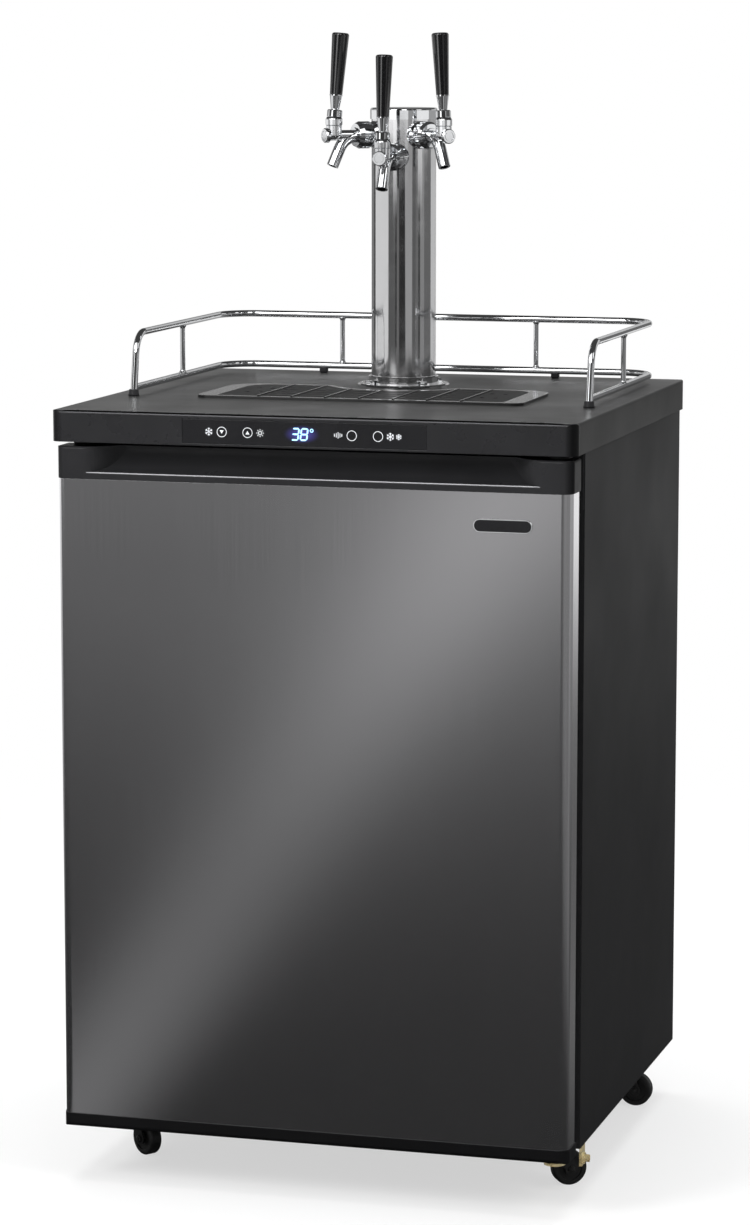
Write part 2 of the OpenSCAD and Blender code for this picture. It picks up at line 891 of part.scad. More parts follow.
module faucet(i) {
    lip_start = nut_end - nut_lip;
    color("#d4d6da")
        at_tap(i)
            difference() {
                union() {
                    bar_x(shank_end, lip_start, collar_r);
                    bar_x(lip_start - cut, neck_end, neck_r);
                    bar_x(lip_start, barrel_end, barrel_r);
                    bar_x(barrel_end, nose_end - nose_edge, nose_r);
                    cone_x(nose_end - nose_edge, nose_end, nose_r, nose_r - nose_edge);
                    translate([tap_reach, 0, 0])
                        cylinder(h = boss_h, r = boss_r);
                    translate([tap_reach, 0, -boss_chin])
                        cylinder(h = boss_chin, r1 = boss_r - boss_chin, r2 = boss_r);
                    spout(spout_r, 0);
                }
                bar_x(shank_end - cut, barrel_end, spout_bore_r);
                difference() {
                    bar_x(nose_end - nose_ring_d, nose_end + cut, nose_ring_r);
                    bar_x(nose_end - 2 * nose_ring_d, nose_end + 2 * cut, nose_ring_r - nose_ring_w);
                }
                spout(spout_bore_r, cut);
                translate([tap_reach, 0, 0])
                    cylinder(h = boss_h + cut, r = boss_bore_r);
                translate([tap_reach, 0, 0])
                    span([-boss_bore_r - 1, -tail_r - loose_gap * 2, 0], [0, tail_r + loose_gap * 2, barrel_r - 0.4]);
            }
}

spigot_l = 2.5;
seat_r = ball_r + loose_gap;

module bonnet_nut() {
    translate([tap_reach, 0, boss_h])
        difference() {
            union() {
                intersection() {
                    union() {
                        cylinder(h = bonnet_edge, r1 = bonnet_r - bonnet_edge, r2 = bonnet_r);
                        translate([0, 0, bonnet_edge])
                            cylinder(h = 2 * bonnet_dome_r, r = bonnet_r);
                    }
                    union() {
                        cylinder(h = pivot_h - boss_h, r = bonnet_r);
                        translate([0, 0, pivot_h - boss_h])
                            sphere(bonnet_dome_r);
                    }
                }
                translate([0, 0, -spigot_l])
                    cylinder(h = spigot_l + cut, r = boss_bore_r - fit_gap);
            }
            translate([0, 0, -spigot_l - cut])
                cylinder(h = spigot_l + cut + pivot_h - boss_h + ball_r, r = seat_r);
            translate([0, 0, pivot_h - boss_h])
                cylinder(h = 2 * bonnet_dome_r, r1 = 0, r2 = 2 * bonnet_dome_r * tan(bonnet_open));
        }
}

module bonnet_nuts() {
    color("#d4d6da")
        for (i = [0:2])
            at_tap(i)
                bonnet_nut();
}

// Puts a lever's own frame in place: origin at the pivot, Z along the leaning lever
module at_lever(i) {
    at_tap(i)
        translate([tap_reach, 0, pivot_h])
            rotate([0, -lever_lean, 0])
                children();
}

module tap_lever(i) {
    color("#dcdee2")
        at_lever(i) {
            sphere(ball_r);
            translate([0, 0, -tail_l])
                cylinder(h = tail_l, r = tail_r);
            cylinder(h = lever_collar_top, r = stem_lever_r);
            difference() {
                union() {
                    cylinder(h = lever_collar_top - lever_collar_edge, r = lever_collar_r);
                    translate([0, 0, lever_collar_top - lever_collar_edge])
                        cylinder(h = lever_collar_edge, r1 = lever_collar_r,
                            r2 = lever_collar_r - lever_collar_edge);
                }
                sphere(bonnet_dome_r + 0.5);
            }
            translate([0, 0, lever_collar_top])
                cylinder(h = ferrule_l - 1.5, r1 = ferrule_foot_r, r2 = handle_foot_r - 0.2);
            translate([0, 0, handle_start - 1.5])
                cylinder(h = 1.5, r = handle_foot_r + 0.3);
        }
}

handle_edge_r = 2.5;

module tap_handle(i) {
    flat_r = handle_top_r - handle_edge_r;
    color("#101012")
        at_lever(i)
            translate([0, 0, handle_start])
                rotate_extrude() {
                    polygon([[0, 0], [handle_foot_r, 0], [handle_top_r, handle_l - handle_edge_r],
                        [0, handle_l - handle_edge_r]]);
                    translate([0, handle_l - handle_edge_r - 0.1])
                        square([flat_r, handle_edge_r + 0.1]);
                    intersection() {
                        translate([flat_r, handle_l - handle_edge_r])
                            circle(handle_edge_r);
                        translate([0, handle_l - handle_edge_r])
                            square([handle_top_r, handle_edge_r]);
                    }
                }
}

module tap_plunger(i) {
    tail_x = tail_l * sin(lever_lean);
    color("#b9bbbf")
        at_tap(i)
            translate([tap_reach + tail_x, 0, 0])
                difference() {
                    bar_x(-plunger_back, plunger_front - tail_x, plunger_r);
                    translate([-plunger_slot, -tail_r - 0.6, -plunger_r - cut])
                        cube([2 * plunger_slot, 2 * tail_r + 1.2, 2 * plunger_r + 2 * cut]);
                }
}

skin_corner_r = 11;

module door_skin_plan(inset, r) {
    w = cabinet_w - 2 * skin_inset - 2 * inset;
    d = skin_d - inset;
    translate([0, door_y + skin_inset + inset + d / 2]) {
        translate([-w / 2, r - d / 2])
            square([w, d - r]);
        translate([r - w / 2, -d / 2])
            square([w - 2 * r, r + cut]);
        for (s = [-1, 1])
            translate([s * (w / 2 - r), r - d / 2])
                circle(r);
    }
}

skin_t = 1;

module door_skin() {
    color("#55565a")
        translate([0, 0, skin_z])
            linear_extrude(cap_z - skin_z)
                difference() {
                    door_skin_plan(0, skin_corner_r);
                    door_skin_plan(skin_t, skin_corner_r - skin_t);
                    translate([skin_inset + skin_t - cabinet_w / 2, door_y + skin_inset + skin_d - cut])
                        square([cabinet_w - 2 * skin_inset - 2 * skin_t, 2 * cut]);
                }
}

module door_foam() {
    color("#e8d9a8")
        translate([0, 0, skin_z]) {
            linear_extrude(cap_z - skin_z)
                door_skin_plan(skin_t, skin_corner_r - skin_t);
            translate([skin_inset + skin_t - cabinet_w / 2, door_y + skin_inset + skin_d - cut, 0])
                cube([cabinet_w - 2 * skin_inset - 2 * skin_t,
                    door_d - skin_inset - skin_d + cut, cap_z - skin_z]);
        }
}

door_corner_r = 12;

// Block of the door's outline with rounded upright front corners
module door_block(z, h) {
    translate([0, 0, z])
        linear_extrude(h)
            intersection() {
                translate([0, door_y + door_d / 2 + door_corner_r])
                    round_rect(cabinet_w, door_d + 2 * door_corner_r, door_corner_r);
                translate([-cabinet_w / 2, door_y])
                    square([cabinet_w, door_d]);
            }
}

lip_edge_r = 2.5;
cap_top_r = 3;

// Section of the grip pocket, depth along X and height along Y: a quarter round over a rounded lip
module grip_section() {
    lip_z = cap_h - grip_d;
    intersection() {
        translate([0, cap_h])
            circle(grip_d);
        translate([-cut, lip_z])
            square([grip_d + cut, grip_d + cut]);
    }
    translate([-cut, lip_z])
        square([cut, grip_d + cut]);
    difference() {
        translate([-cut, lip_z - lip_edge_r])
            square([lip_edge_r + cut, lip_edge_r + cut]);
        translate([lip_edge_r, lip_z - lip_edge_r])
            circle(lip_edge_r);
    }
}

// Plan of the grip pocket
module grip_plan() {
    right = grip_curve;
    left = [for (i = [grip_steps:-1:0]) [-grip_curve[i][0], grip_curve[i][1]]];
    polygon(concat([[grip_half, -cut]], right, left, [[-grip_half, -cut]]));
}

module door_cap() {
    color("#19191b")
        difference() {
            intersection() {
                door_block(cap_z, cap_h);
                translate([0, door_back_y + cut, cap_z])
                    rotate([90, 0, 0])
                        linear_extrude(door_d + 2 * cut)
                            arch_rect(cabinet_w, cap_h, cap_top_r);
                translate([-cabinet_w / 2 - cut, door_y + door_d / 2, cap_z])
                    rotate([90, 0, 90])
                        linear_extrude(cabinet_w + 2 * cut)
                            arch_rect(door_d, cap_h, cap_top_r);
            }
            intersection() {
                translate([0, door_y, cap_z])
                    linear_extrude(cap_h + cut)
                        grip_plan();
                translate([-cabinet_w / 2, door_y, cap_z])
                    rotate([90, 0, 90])
                        linear_extrude(cabinet_w)
                            grip_section();
            }
            translate([hinge_x, hinge_y, door_top_z - hinge_bore_depth])
                cylinder(h = hinge_bore_depth + cut, r = hinge_pin_r + pin_clearance);
        }
}

trim_chamfer = 4;

module door_bottom_trim() {
    color("#161618")
        difference() {
            door_block(door_z, trim_h);
            translate([0, door_y, door_z])
                rotate([45, 0, 0])
                    cube([2 * cabinet_w, trim_chamfer * sqrt(2), trim_chamfer * sqrt(2)], center = true);
            translate([hinge_x, hinge_y, door_z - cut])
                cylinder(h = hinge_bore_depth + cut, r = hinge_pin_r + pin_clearance);
        }
}

door_liner_inset = 4;
door_panel_margin = 16;
door_panel_r = 20;
door_panel_dish = 5;
door_panel_border = 26;

// Rounded block in the XZ plane in the middle of the liner's opening, built backwards from y
module inner_panel_block(margin, r, y, depth) {
    w = 2 * (inner_x - margin);
    h = inner_top_z - inner_floor_z - 2 * margin;
    translate([0, y + depth, (inner_top_z + inner_floor_z) / 2])
        rotate([90, 0, 0])
            linear_extrude(depth)
                round_rect(w, h, r);
}

module door_liner() {
    color("#8d8f93")
        difference() {
            union() {
                span([door_liner_inset - cabinet_w / 2, door_back_y, door_z + door_liner_inset],
                    [cabinet_w / 2 - door_liner_inset, door_liner_y, door_top_z - door_liner_inset]);
                inner_panel_block(door_panel_margin, door_panel_r, door_liner_y - cut, door_panel_rise + cut);
            }
            inner_panel_block(door_panel_margin + door_panel_border, door_panel_r,
                door_liner_y + door_panel_rise - door_panel_dish, door_panel_dish + cut);
        }
}

gasket_gap = 0.3;
gasket_waist = 4;
gasket_half_x = cabinet_w / 2 - gasket_inset;
gasket_low_z = door_z + gasket_inset;
gasket_high_z = door_top_z - gasket_inset;

module door_gasket() {
    depth = cabinet_front_y - gasket_gap - door_liner_y;
    third = depth / 3;
    color("#4a4b4e") {
        frame_xz(gasket_half_x, gasket_low_z, gasket_high_z, gasket_w, door_liner_y, third);
        frame_xz(gasket_half_x - gasket_waist, gasket_low_z + gasket_waist, gasket_high_z - gasket_waist,
            gasket_w - 2 * gasket_waist, door_liner_y + third / 2, 2 * third);
        frame_xz(gasket_half_x, gasket_low_z, gasket_high_z, gasket_w, door_liner_y + 2 * third, third);
    }
}

hinge_plate_w = 24;
upper_plate_z = door_top_z + (door_top_gap - hinge_plate_t) / 2;
upper_flange_h = 60;
upper_flange_w = 16;
washer_h = 2;
lower_plate_z = door_z - washer_h - hinge_plate_t;
lower_plate_run = 56;
lower_plate_back = cabinet_front_y + lower_plate_run;
lug_w = 16;
lug_h = 32;
lug_bolt_r = 4.5;
lug_bolt_h = 5;

// Plate with a round nose at the pin, running back to a place
module hinge_plate(z, y_end) {
    translate([hinge_x, hinge_y, z])
        cylinder(h = hinge_plate_t, r = hinge_plate_w / 2);
    span([hinge_x - hinge_plate_w / 2, hinge_y, z], [hinge_x + hinge_plate_w / 2, y_end, z + hinge_plate_t]);
}

module upper_hinge() {
    flange_right = cabinet_w / 2 - 1;
    color("#b79a52") {
        hinge_plate(upper_plate_z, cabinet_front_y);
        translate([hinge_x, hinge_y, door_top_z - hinge_bore_depth + 1])
            cylinder(h = hinge_bore_depth + door_top_gap / 2, r = hinge_pin_r);
        span([flange_right - upper_flange_w, cabinet_front_y - hinge_plate_t, upper_plate_z - upper_flange_h],
            [flange_right, cabinet_front_y, upper_plate_z + hinge_plate_t]);
    }
}

// Cranked plate under the door, with a turned-down lug and its sideways bolt
module lower_hinge() {
    riser_y = cabinet_front_y + 2;
    rear_z = cabinet_z - hinge_plate_t;
    left = hinge_x - hinge_plate_w / 2;
    right = hinge_x + hinge_plate_w / 2;
    color("#c9a552") {
        hinge_plate(lower_plate_z, riser_y + hinge_plate_t);
        span([left, riser_y, lower_plate_z], [right, riser_y + hinge_plate_t, cabinet_z]);
        span([left, riser_y, rear_z], [right, lower_plate_back, cabinet_z]);
        translate([hinge_x, hinge_y, lower_plate_z])
            cylinder(h = hinge_plate_t + washer_h + hinge_bore_depth - 1, r = hinge_pin_r);
        translate([hinge_x, hinge_y, lower_plate_z])
            cylinder(h = hinge_plate_t + washer_h - loose_gap, r = hinge_pin_r + 3);
        span([right - hinge_plate_t, lower_plate_back - lug_w, cabinet_z - lug_h],
            [right, lower_plate_back, cabinet_z]);
        translate([right - 1, lower_plate_back - lug_w / 2, cabinet_z - lug_h + lug_w / 2])
            rotate([0, 90, 0]) {
                cylinder(h = 3, r = lug_bolt_r + 2);
                cylinder(h = 3 + lug_bolt_h, r = lug_bolt_r, $fn = 6);
            }
    }
}

module cabinet_shell() {
    half = cabinet_w / 2;
    color("#2b2b2d")
        difference() {
            span([-half, cabinet_front_y, cabinet_z], [half, cabinet_back_y, cabinet_top_z]);
            span([sheet_t - half, cabinet_front_y + sheet_t, cabinet_z - cut],
                [half - sheet_t, cabinet_back_y + cut, cabinet_top_z - sheet_t]);
            span([-inner_x, cabinet_front_y - cut, inner_floor_z],
                [inner_x, cabinet_front_y + 2 * sheet_t, inner_top_z]);
            translate([0, tower_y, cabinet_top_z - 2 * sheet_t])
                cylinder(h = 4 * sheet_t, r = passage_r);
        }
}

// Side profile of the liner, depth along X and height along Y, grown outwards by a margin
module liner_profile(grow) {
    polygon([[inner_front_y, inner_floor_z - grow], [hump_y + grow, inner_floor_z - grow],
        [hump_y + grow, hump_z - grow], [inner_back_y + grow, hump_z - grow],
        [inner_back_y + grow, inner_top_z + grow], [inner_front_y, inner_top_z + grow]]);
}

module liner_block(grow) {
    translate([-inner_x - grow, 0, 0])
        rotate([90, 0, 90])
            linear_extrude(2 * (inner_x + grow))
                liner_profile(grow);
}

gas_tube_r = gas_bore_r + 3;
gas_flange_r = gas_bore_r + 8;
gas_flange_t = 2.5;

module gas_tube(r, start_y, end_y) {
    translate([gas_x, start_y, gas_z])
        rotate([-90, 0, 0])
            cylinder(h = end_y - start_y, r = r);
}

module passage(z_low, z_high) {
    translate([0, tower_y, z_low])
        cylinder(h = z_high - z_low, r = passage_r);
}

module inner_liner() {
    color("#d9dadc")
        difference() {
            liner_block(liner_t);
            translate([0, -cut, 0])
                liner_block(0);
            liner_block(0);
            passage(inner_top_z - cut, inner_top_z + 2 * liner_t);
            gas_tube(gas_tube_r + fit_gap, inner_back_y - cut, inner_back_y + 2 * liner_t);
        }
}

// Bent sheet of the back, from the top down to the machine bay and round it
module back_panel() {
    half = cabinet_w / 2 - sheet_t;
    bay_y = cabinet_back_y - bay_d;
    color("#39393b")
        difference() {
            union() {
                span([-half, cabinet_back_y - sheet_t, bay_top_z], [half, cabinet_back_y, cabinet_top_z - sheet_t]);
                span([-half, bay_y - sheet_t, bay_top_z], [half, cabinet_back_y, bay_top_z + sheet_t]);
                span([-half, bay_y - sheet_t, cabinet_z + base_t_plate], [half, bay_y, bay_top_z + sheet_t]);
            }
            gas_tube(gas_tube_r + fit_gap, cabinet_back_y - 2 * sheet_t, cabinet_back_y + cut);
        }
}

module insulation_foam() {
    half = cabinet_w / 2 - sheet_t;
    color("#ead9a0")
        difference() {
            span([-half, inner_front_y, cabinet_z + base_t_plate],
                [half, cabinet_back_y - sheet_t, cabinet_top_z - sheet_t]);
            liner_block(liner_t);
            translate([0, -cut, 0])
                liner_block(liner_t);
            span([-half - cut, cabinet_back_y - bay_d - sheet_t, cabinet_z],
                [half + cut, cabinet_back_y + cut, bay_top_z + sheet_t]);
            passage(inner_top_z, cabinet_top_z + cut);
            gas_tube(gas_tube_r + fit_gap, inner_back_y, cabinet_back_y);
            caster_sockets(socket_r + fit_gap, socket_top + fit_gap);
        }
}

// Upright sleeves round the caster stems, above the base plate
module caster_sockets(r, h) {
    for (i = [0:3])
        translate([caster_side[i] * caster_x, caster_y[i], cabinet_z])
            cylinder(h = base_t_plate + h, r = r);
}

module base_tray() {
    half = cabinet_w / 2 - sheet_t;
    color("#2f3032")
        difference() {
            union() {
                span([-half, inner_front_y, cabinet_z], [half, cabinet_back_y, cabinet_z + base_t_plate]);
                caster_sockets(socket_r, socket_top);
                for (i = [0:3])
                    translate([caster_side[i] * caster_x, caster_y[i], pad_z])
                        cylinder(h = cabinet_z - pad_z + 1, r = pad_r);
            }
            for (i = [0:3])
                translate([caster_side[i] * caster_x, caster_y[i], pad_z - cut])
                    cylinder(h = cabinet_z - pad_z + base_t_plate + socket_top - 2, r = stem_r + pin_clearance);
        }
}

// Puts a caster's own frame in place: origin on the floor under the swivel, X along the trail
module at_caster(i) {
    translate([caster_side[i] * caster_x, caster_y[i], 0])
        rotate([0, 0, caster_angle[i]])
            children();
}

fork_half = wheel_w / 2 + fork_gap + fork_wall;
fork_leg_r = axle_r + 4.5;

module caster_fork(i) {
    leg_top = fork_top_z - fork_crown;
    color("#131314")
        at_caster(i) {
            translate([0, 0, fork_top_z - fork_crown])
                cylinder(h = fork_crown, r = pad_r - 2);
            translate([0, 0, fork_top_z - 1])
                cylinder(h = cabinet_z - fork_top_z + base_t_plate + socket_top - 4, r = stem_r);
            for (s = [-1, 1])
                translate([0, s * (fork_half - fork_wall / 2) + fork_wall / 2, 0])
                    rotate([90, 0, 0])
                        linear_extrude(fork_wall) {
                            translate([caster_trail, wheel_r])
                                circle(fork_leg_r);
                            polygon([[-8, leg_top + 1], [caster_trail - fork_leg_r, wheel_r],
                                [caster_trail + fork_leg_r, wheel_r], [12, leg_top + 1]]);
                        }
            translate([caster_trail, 0, wheel_r])
                rotate([90, 0, 0])
                    cylinder(h = 2 * fork_half, r = axle_r, center = true);
        }
}

wheel_edge_r = 3;
wheel_dish = 2;

module caster_wheel(i) {
    color("#0e0e0f")
        at_caster(i)
            translate([caster_trail, 0, wheel_r])
                rotate([90, 0, 0])
                    difference() {
                        translate([0, 0, -wheel_w / 2])
                            rotate_extrude() {
                                square([wheel_r - wheel_edge_r, wheel_w]);
                                translate([0, wheel_edge_r])
                                    square([wheel_r, wheel_w - 2 * wheel_edge_r]);
                                for (z = [wheel_edge_r, wheel_w - wheel_edge_r])
                                    translate([wheel_r - wheel_edge_r, z])
                                        circle(wheel_edge_r);
                            }
                        cylinder(h = 2 * wheel_w, r = axle_r + pin_clearance, center = true);
                        for (s = [-1, 1])
                            translate([0, 0, s * wheel_w / 2])
                                difference() {
                                    cylinder(h = 2 * wheel_dish, r = wheel_r - 2 * wheel_edge_r, center = true);
                                    cylinder(h = 3 * wheel_dish, r = axle_r + 3, center = true);
                                }
                    }
}

pot_h = 96;
pot_dome_h = 22;
pot_foot_h = 12;
pot_plate_t = 3;
pot_plate_w = 150;
pot_plate_d = 116;
pot_seam_r = 3;
compressor_y = cabinet_back_y - bay_d / 2;
pot_z = cabinet_z + base_t_plate + pot_foot_h + pot_plate_t;
pot_top_z = pot_z + pot_h + pot_dome_h;
starter_w = 46;
starter_t = 26;
starter_lift = 12;
pot_foot_r = 9;
pot_foot_inset = 12;

// Domed pot on a footed plate, with the starter box on its right side
module compressor() {
    color("#161617")
        translate([compressor_x, compressor_y, 0]) {
            translate([0, 0, pot_z - 0.5])
                cylinder(h = pot_h + 0.5, r = compressor_r);
            translate([0, 0, pot_z + pot_h])
                cylinder(h = pot_dome_h * 0.6, r1 = compressor_r, r2 = compressor_r * 0.8);
            translate([0, 0, pot_z + pot_h + pot_dome_h * 0.6])
                cylinder(h = pot_dome_h * 0.4, r1 = compressor_r * 0.8, r2 = compressor_r * 0.45);
            translate([0, 0, pot_z + pot_h * 0.55])
                cylinder(h = 2 * pot_seam_r, r = compressor_r + pot_seam_r);
            translate([-pot_plate_w / 2, -pot_plate_d / 2, pot_z - pot_plate_t])
                cube([pot_plate_w, pot_plate_d, pot_plate_t]);
            for (sx = [-1, 1], sy = [-1, 1])
                translate([sx * (pot_plate_w / 2 - pot_foot_inset), sy * (pot_plate_d / 2 - pot_foot_inset),
                    cabinet_z + base_t_plate])
                    cylinder(h = pot_foot_h + 1, r = pot_foot_r);
            translate([compressor_r - 6, -starter_w / 2, pot_z + starter_lift])
                cube([starter_t, starter_w, starter_w]);
        }
}

pan_w = 140;
pan_d = 104;
pan_h = 20;
pan_t = 2;

module drain_pan() {
    color("#1f1f21")
        translate([compressor_x, compressor_y, pot_top_z])
            difference() {
                linear_extrude(pan_h)
                    round_rect(pan_w, pan_d, 12);
                translate([0, 0, pan_t])
                    linear_extrude(pan_h)
                        round_rect(pan_w - 2 * pan_t, pan_d - 2 * pan_t, 12 - pan_t);
            }
}

pipe_r = 3.2;
pipe_bend_r = 16;
pipe_reach = [34, 58];
pipe_y = [-14, 16];
pipe_rise = [30, 70];

// Two pipes from the pot's left side, bent up to the bay's ceiling
module copper_pipes() {
    color("#b5713c")
        for (k = [0, 1]) {
            z = pot_z + pipe_rise[k];
            x_bend = -compressor_r - pipe_reach[k];
            translate([compressor_x, compressor_y + pipe_y[k], 0])
                difference() {
                    union() {
                        translate([0, 0, z])
                            bar_x(x_bend, -compressor_r / 2, pipe_r);
                        translate([x_bend, 0, z + pipe_bend_r])
                            rotate([90, 0, 0])
                                rotate([0, 0, 180])
                                    elbow(pipe_bend_r, pipe_r, 90);
                        translate([x_bend - pipe_bend_r, 0, z + pipe_bend_r])
                            cylinder(h = bay_top_z - z - pipe_bend_r, r = pipe_r);
                    }
                    translate([0, -pipe_y[k], 0])
                        cylinder(h = bay_top_z, r = compressor_r + fit_gap);
                    translate([0, -pipe_y[k], pot_z + pot_h * 0.55])
                        cylinder(h = 2 * pot_seam_r, r = compressor_r + pot_seam_r + fit_gap);
                }
        }
}

evaporator_t = 4;
evaporator_stand = 6;
evaporator_drop = 60;
channel_count = 7;
channel_r = 2.5;
standoff_inset = 20;
standoff_r = 5;

// Cooling plate on four stand-offs, with raised channels on its face
module evaporator_plate() {
    top = inner_top_z - evaporator_drop;
    y = inner_back_y - evaporator_stand - evaporator_t;
    channel_step = evaporator_h / (channel_count + 1);
    color("#c3c7cb") {
        span([-evaporator_w / 2, y, top - evaporator_h], [evaporator_w / 2, y + evaporator_t, top]);
        for (sx = [-1, 1], z = [top - standoff_inset, top - evaporator_h + standoff_inset])
            translate([sx * (evaporator_w / 2 - standoff_inset), y + evaporator_t - cut, z])
                rotate([-90, 0, 0])
                    cylinder(h = evaporator_stand + cut, r = standoff_r);
        for (k = [1:channel_count])
            translate([0, y, top - k * channel_step])
                bar_x(standoff_inset - evaporator_w / 2, evaporator_w / 2 - standoff_inset, channel_r);
    }
}

keg_floor_t = 3;
keg_floor_gap = 6;

module keg_floor() {
    color("#9ea1a5")
        translate([0, (inner_front_y + hump_y) / 2, inner_floor_z])
            linear_extrude(keg_floor_t)
                round_rect(2 * inner_x - 2 * keg_floor_gap, hump_y - inner_front_y - 2 * keg_floor_gap, 10);
}

module gas_line_grommet() {
    color("#141415")
        difference() {
            union() {
                gas_tube(gas_tube_r, inner_back_y - 1, cabinet_back_y + 1);
                gas_tube(gas_flange_r, inner_back_y - gas_flange_t, inner_back_y);
                gas_tube(gas_flange_r, cabinet_back_y, cabinet_back_y + gas_flange_t);
            }
            gas_tube(gas_bore_r, inner_back_y - 2 * gas_flange_t, cabinet_back_y + 2 * gas_flange_t);
        }
}

cabinet_shell();
insulation_foam();
inner_liner();
back_panel();
base_tray();
compressor();
drain_pan();
copper_pipes();
evaporator_plate();
keg_floor();
gas_line_grommet();
worktop();
control_fascia();
control_panel();
upper_rail();
lower_rail();
rail_uprights();
rail_feet();
tower_base();
tower_bolts();
tower_column();
tower_cap();
tap_shanks();
coupling_nuts();
bonnet_nuts();
upper_hinge();
lower_hinge();
for (i = [0:2]) {
    faucet(i);
    tap_lever(i);
    tap_handle(i);
    tap_plunger(i);
}
door_skin();
door_foam();
door_cap();
door_bottom_trim();
door_liner();
door_gasket();
button(0);  // button_cooler
button(1);  // button_warmer
button(2);  // button_units
button(3);  // button_chill
drip_tray();
drip_grille();
for (i = [0:3]) {
    caster_fork(i);
    caster_wheel(i);
}
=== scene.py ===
"""Looks of a keg cooler with a tap tower: finishes, printed marks, small fittings, light and camera.

Lengths are metres in the part's own frame: X to the right, Y to the back, Z up from the floor.
"""

import json
import math

import bmesh
import bpy
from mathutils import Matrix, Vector


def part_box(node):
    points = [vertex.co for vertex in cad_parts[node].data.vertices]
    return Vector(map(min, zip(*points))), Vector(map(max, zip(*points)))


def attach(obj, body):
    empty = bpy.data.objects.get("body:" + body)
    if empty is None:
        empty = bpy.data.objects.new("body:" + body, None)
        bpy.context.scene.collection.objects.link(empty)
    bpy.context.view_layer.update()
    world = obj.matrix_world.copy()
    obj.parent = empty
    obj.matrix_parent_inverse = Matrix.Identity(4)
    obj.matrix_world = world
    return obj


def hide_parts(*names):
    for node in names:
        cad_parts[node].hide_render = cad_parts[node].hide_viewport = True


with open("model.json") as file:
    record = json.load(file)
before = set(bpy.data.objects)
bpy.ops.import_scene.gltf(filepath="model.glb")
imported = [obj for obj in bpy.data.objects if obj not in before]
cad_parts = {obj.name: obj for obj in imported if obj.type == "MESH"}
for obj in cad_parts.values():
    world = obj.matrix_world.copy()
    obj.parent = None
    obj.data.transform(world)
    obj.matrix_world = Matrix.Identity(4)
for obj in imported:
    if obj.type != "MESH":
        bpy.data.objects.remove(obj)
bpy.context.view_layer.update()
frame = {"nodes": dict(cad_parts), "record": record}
nodes = frame["nodes"]
MM = 0.001

# Camera at the photograph's place, fitted to the cabinet's straight edges
CAMERA_AT = (1.2581, -4.4163, 1.3044)
CAMERA_YAW = math.radians(15.98)
CAMERA_PITCH = math.radians(8.40)
CAMERA_LENS = 116.89
CAMERA_REACH = 200


def make_camera():
    data = bpy.data.cameras.new("camera")
    data.lens = CAMERA_LENS
    data.clip_end = CAMERA_REACH
    camera = bpy.data.objects.new("camera", data)
    camera.location = CAMERA_AT
    camera.rotation_euler = (math.pi / 2 - CAMERA_PITCH, 0, CAMERA_YAW)
    bpy.context.collection.objects.link(camera)
    bpy.context.scene.camera = camera


EDGE_ROUND = 0.8 * MM
EDGE_SAMPLES = 6
NOISE_LOW, NOISE_HIGH = 0.25, 0.75
TINT_STOPS = (0.3, 0.7)


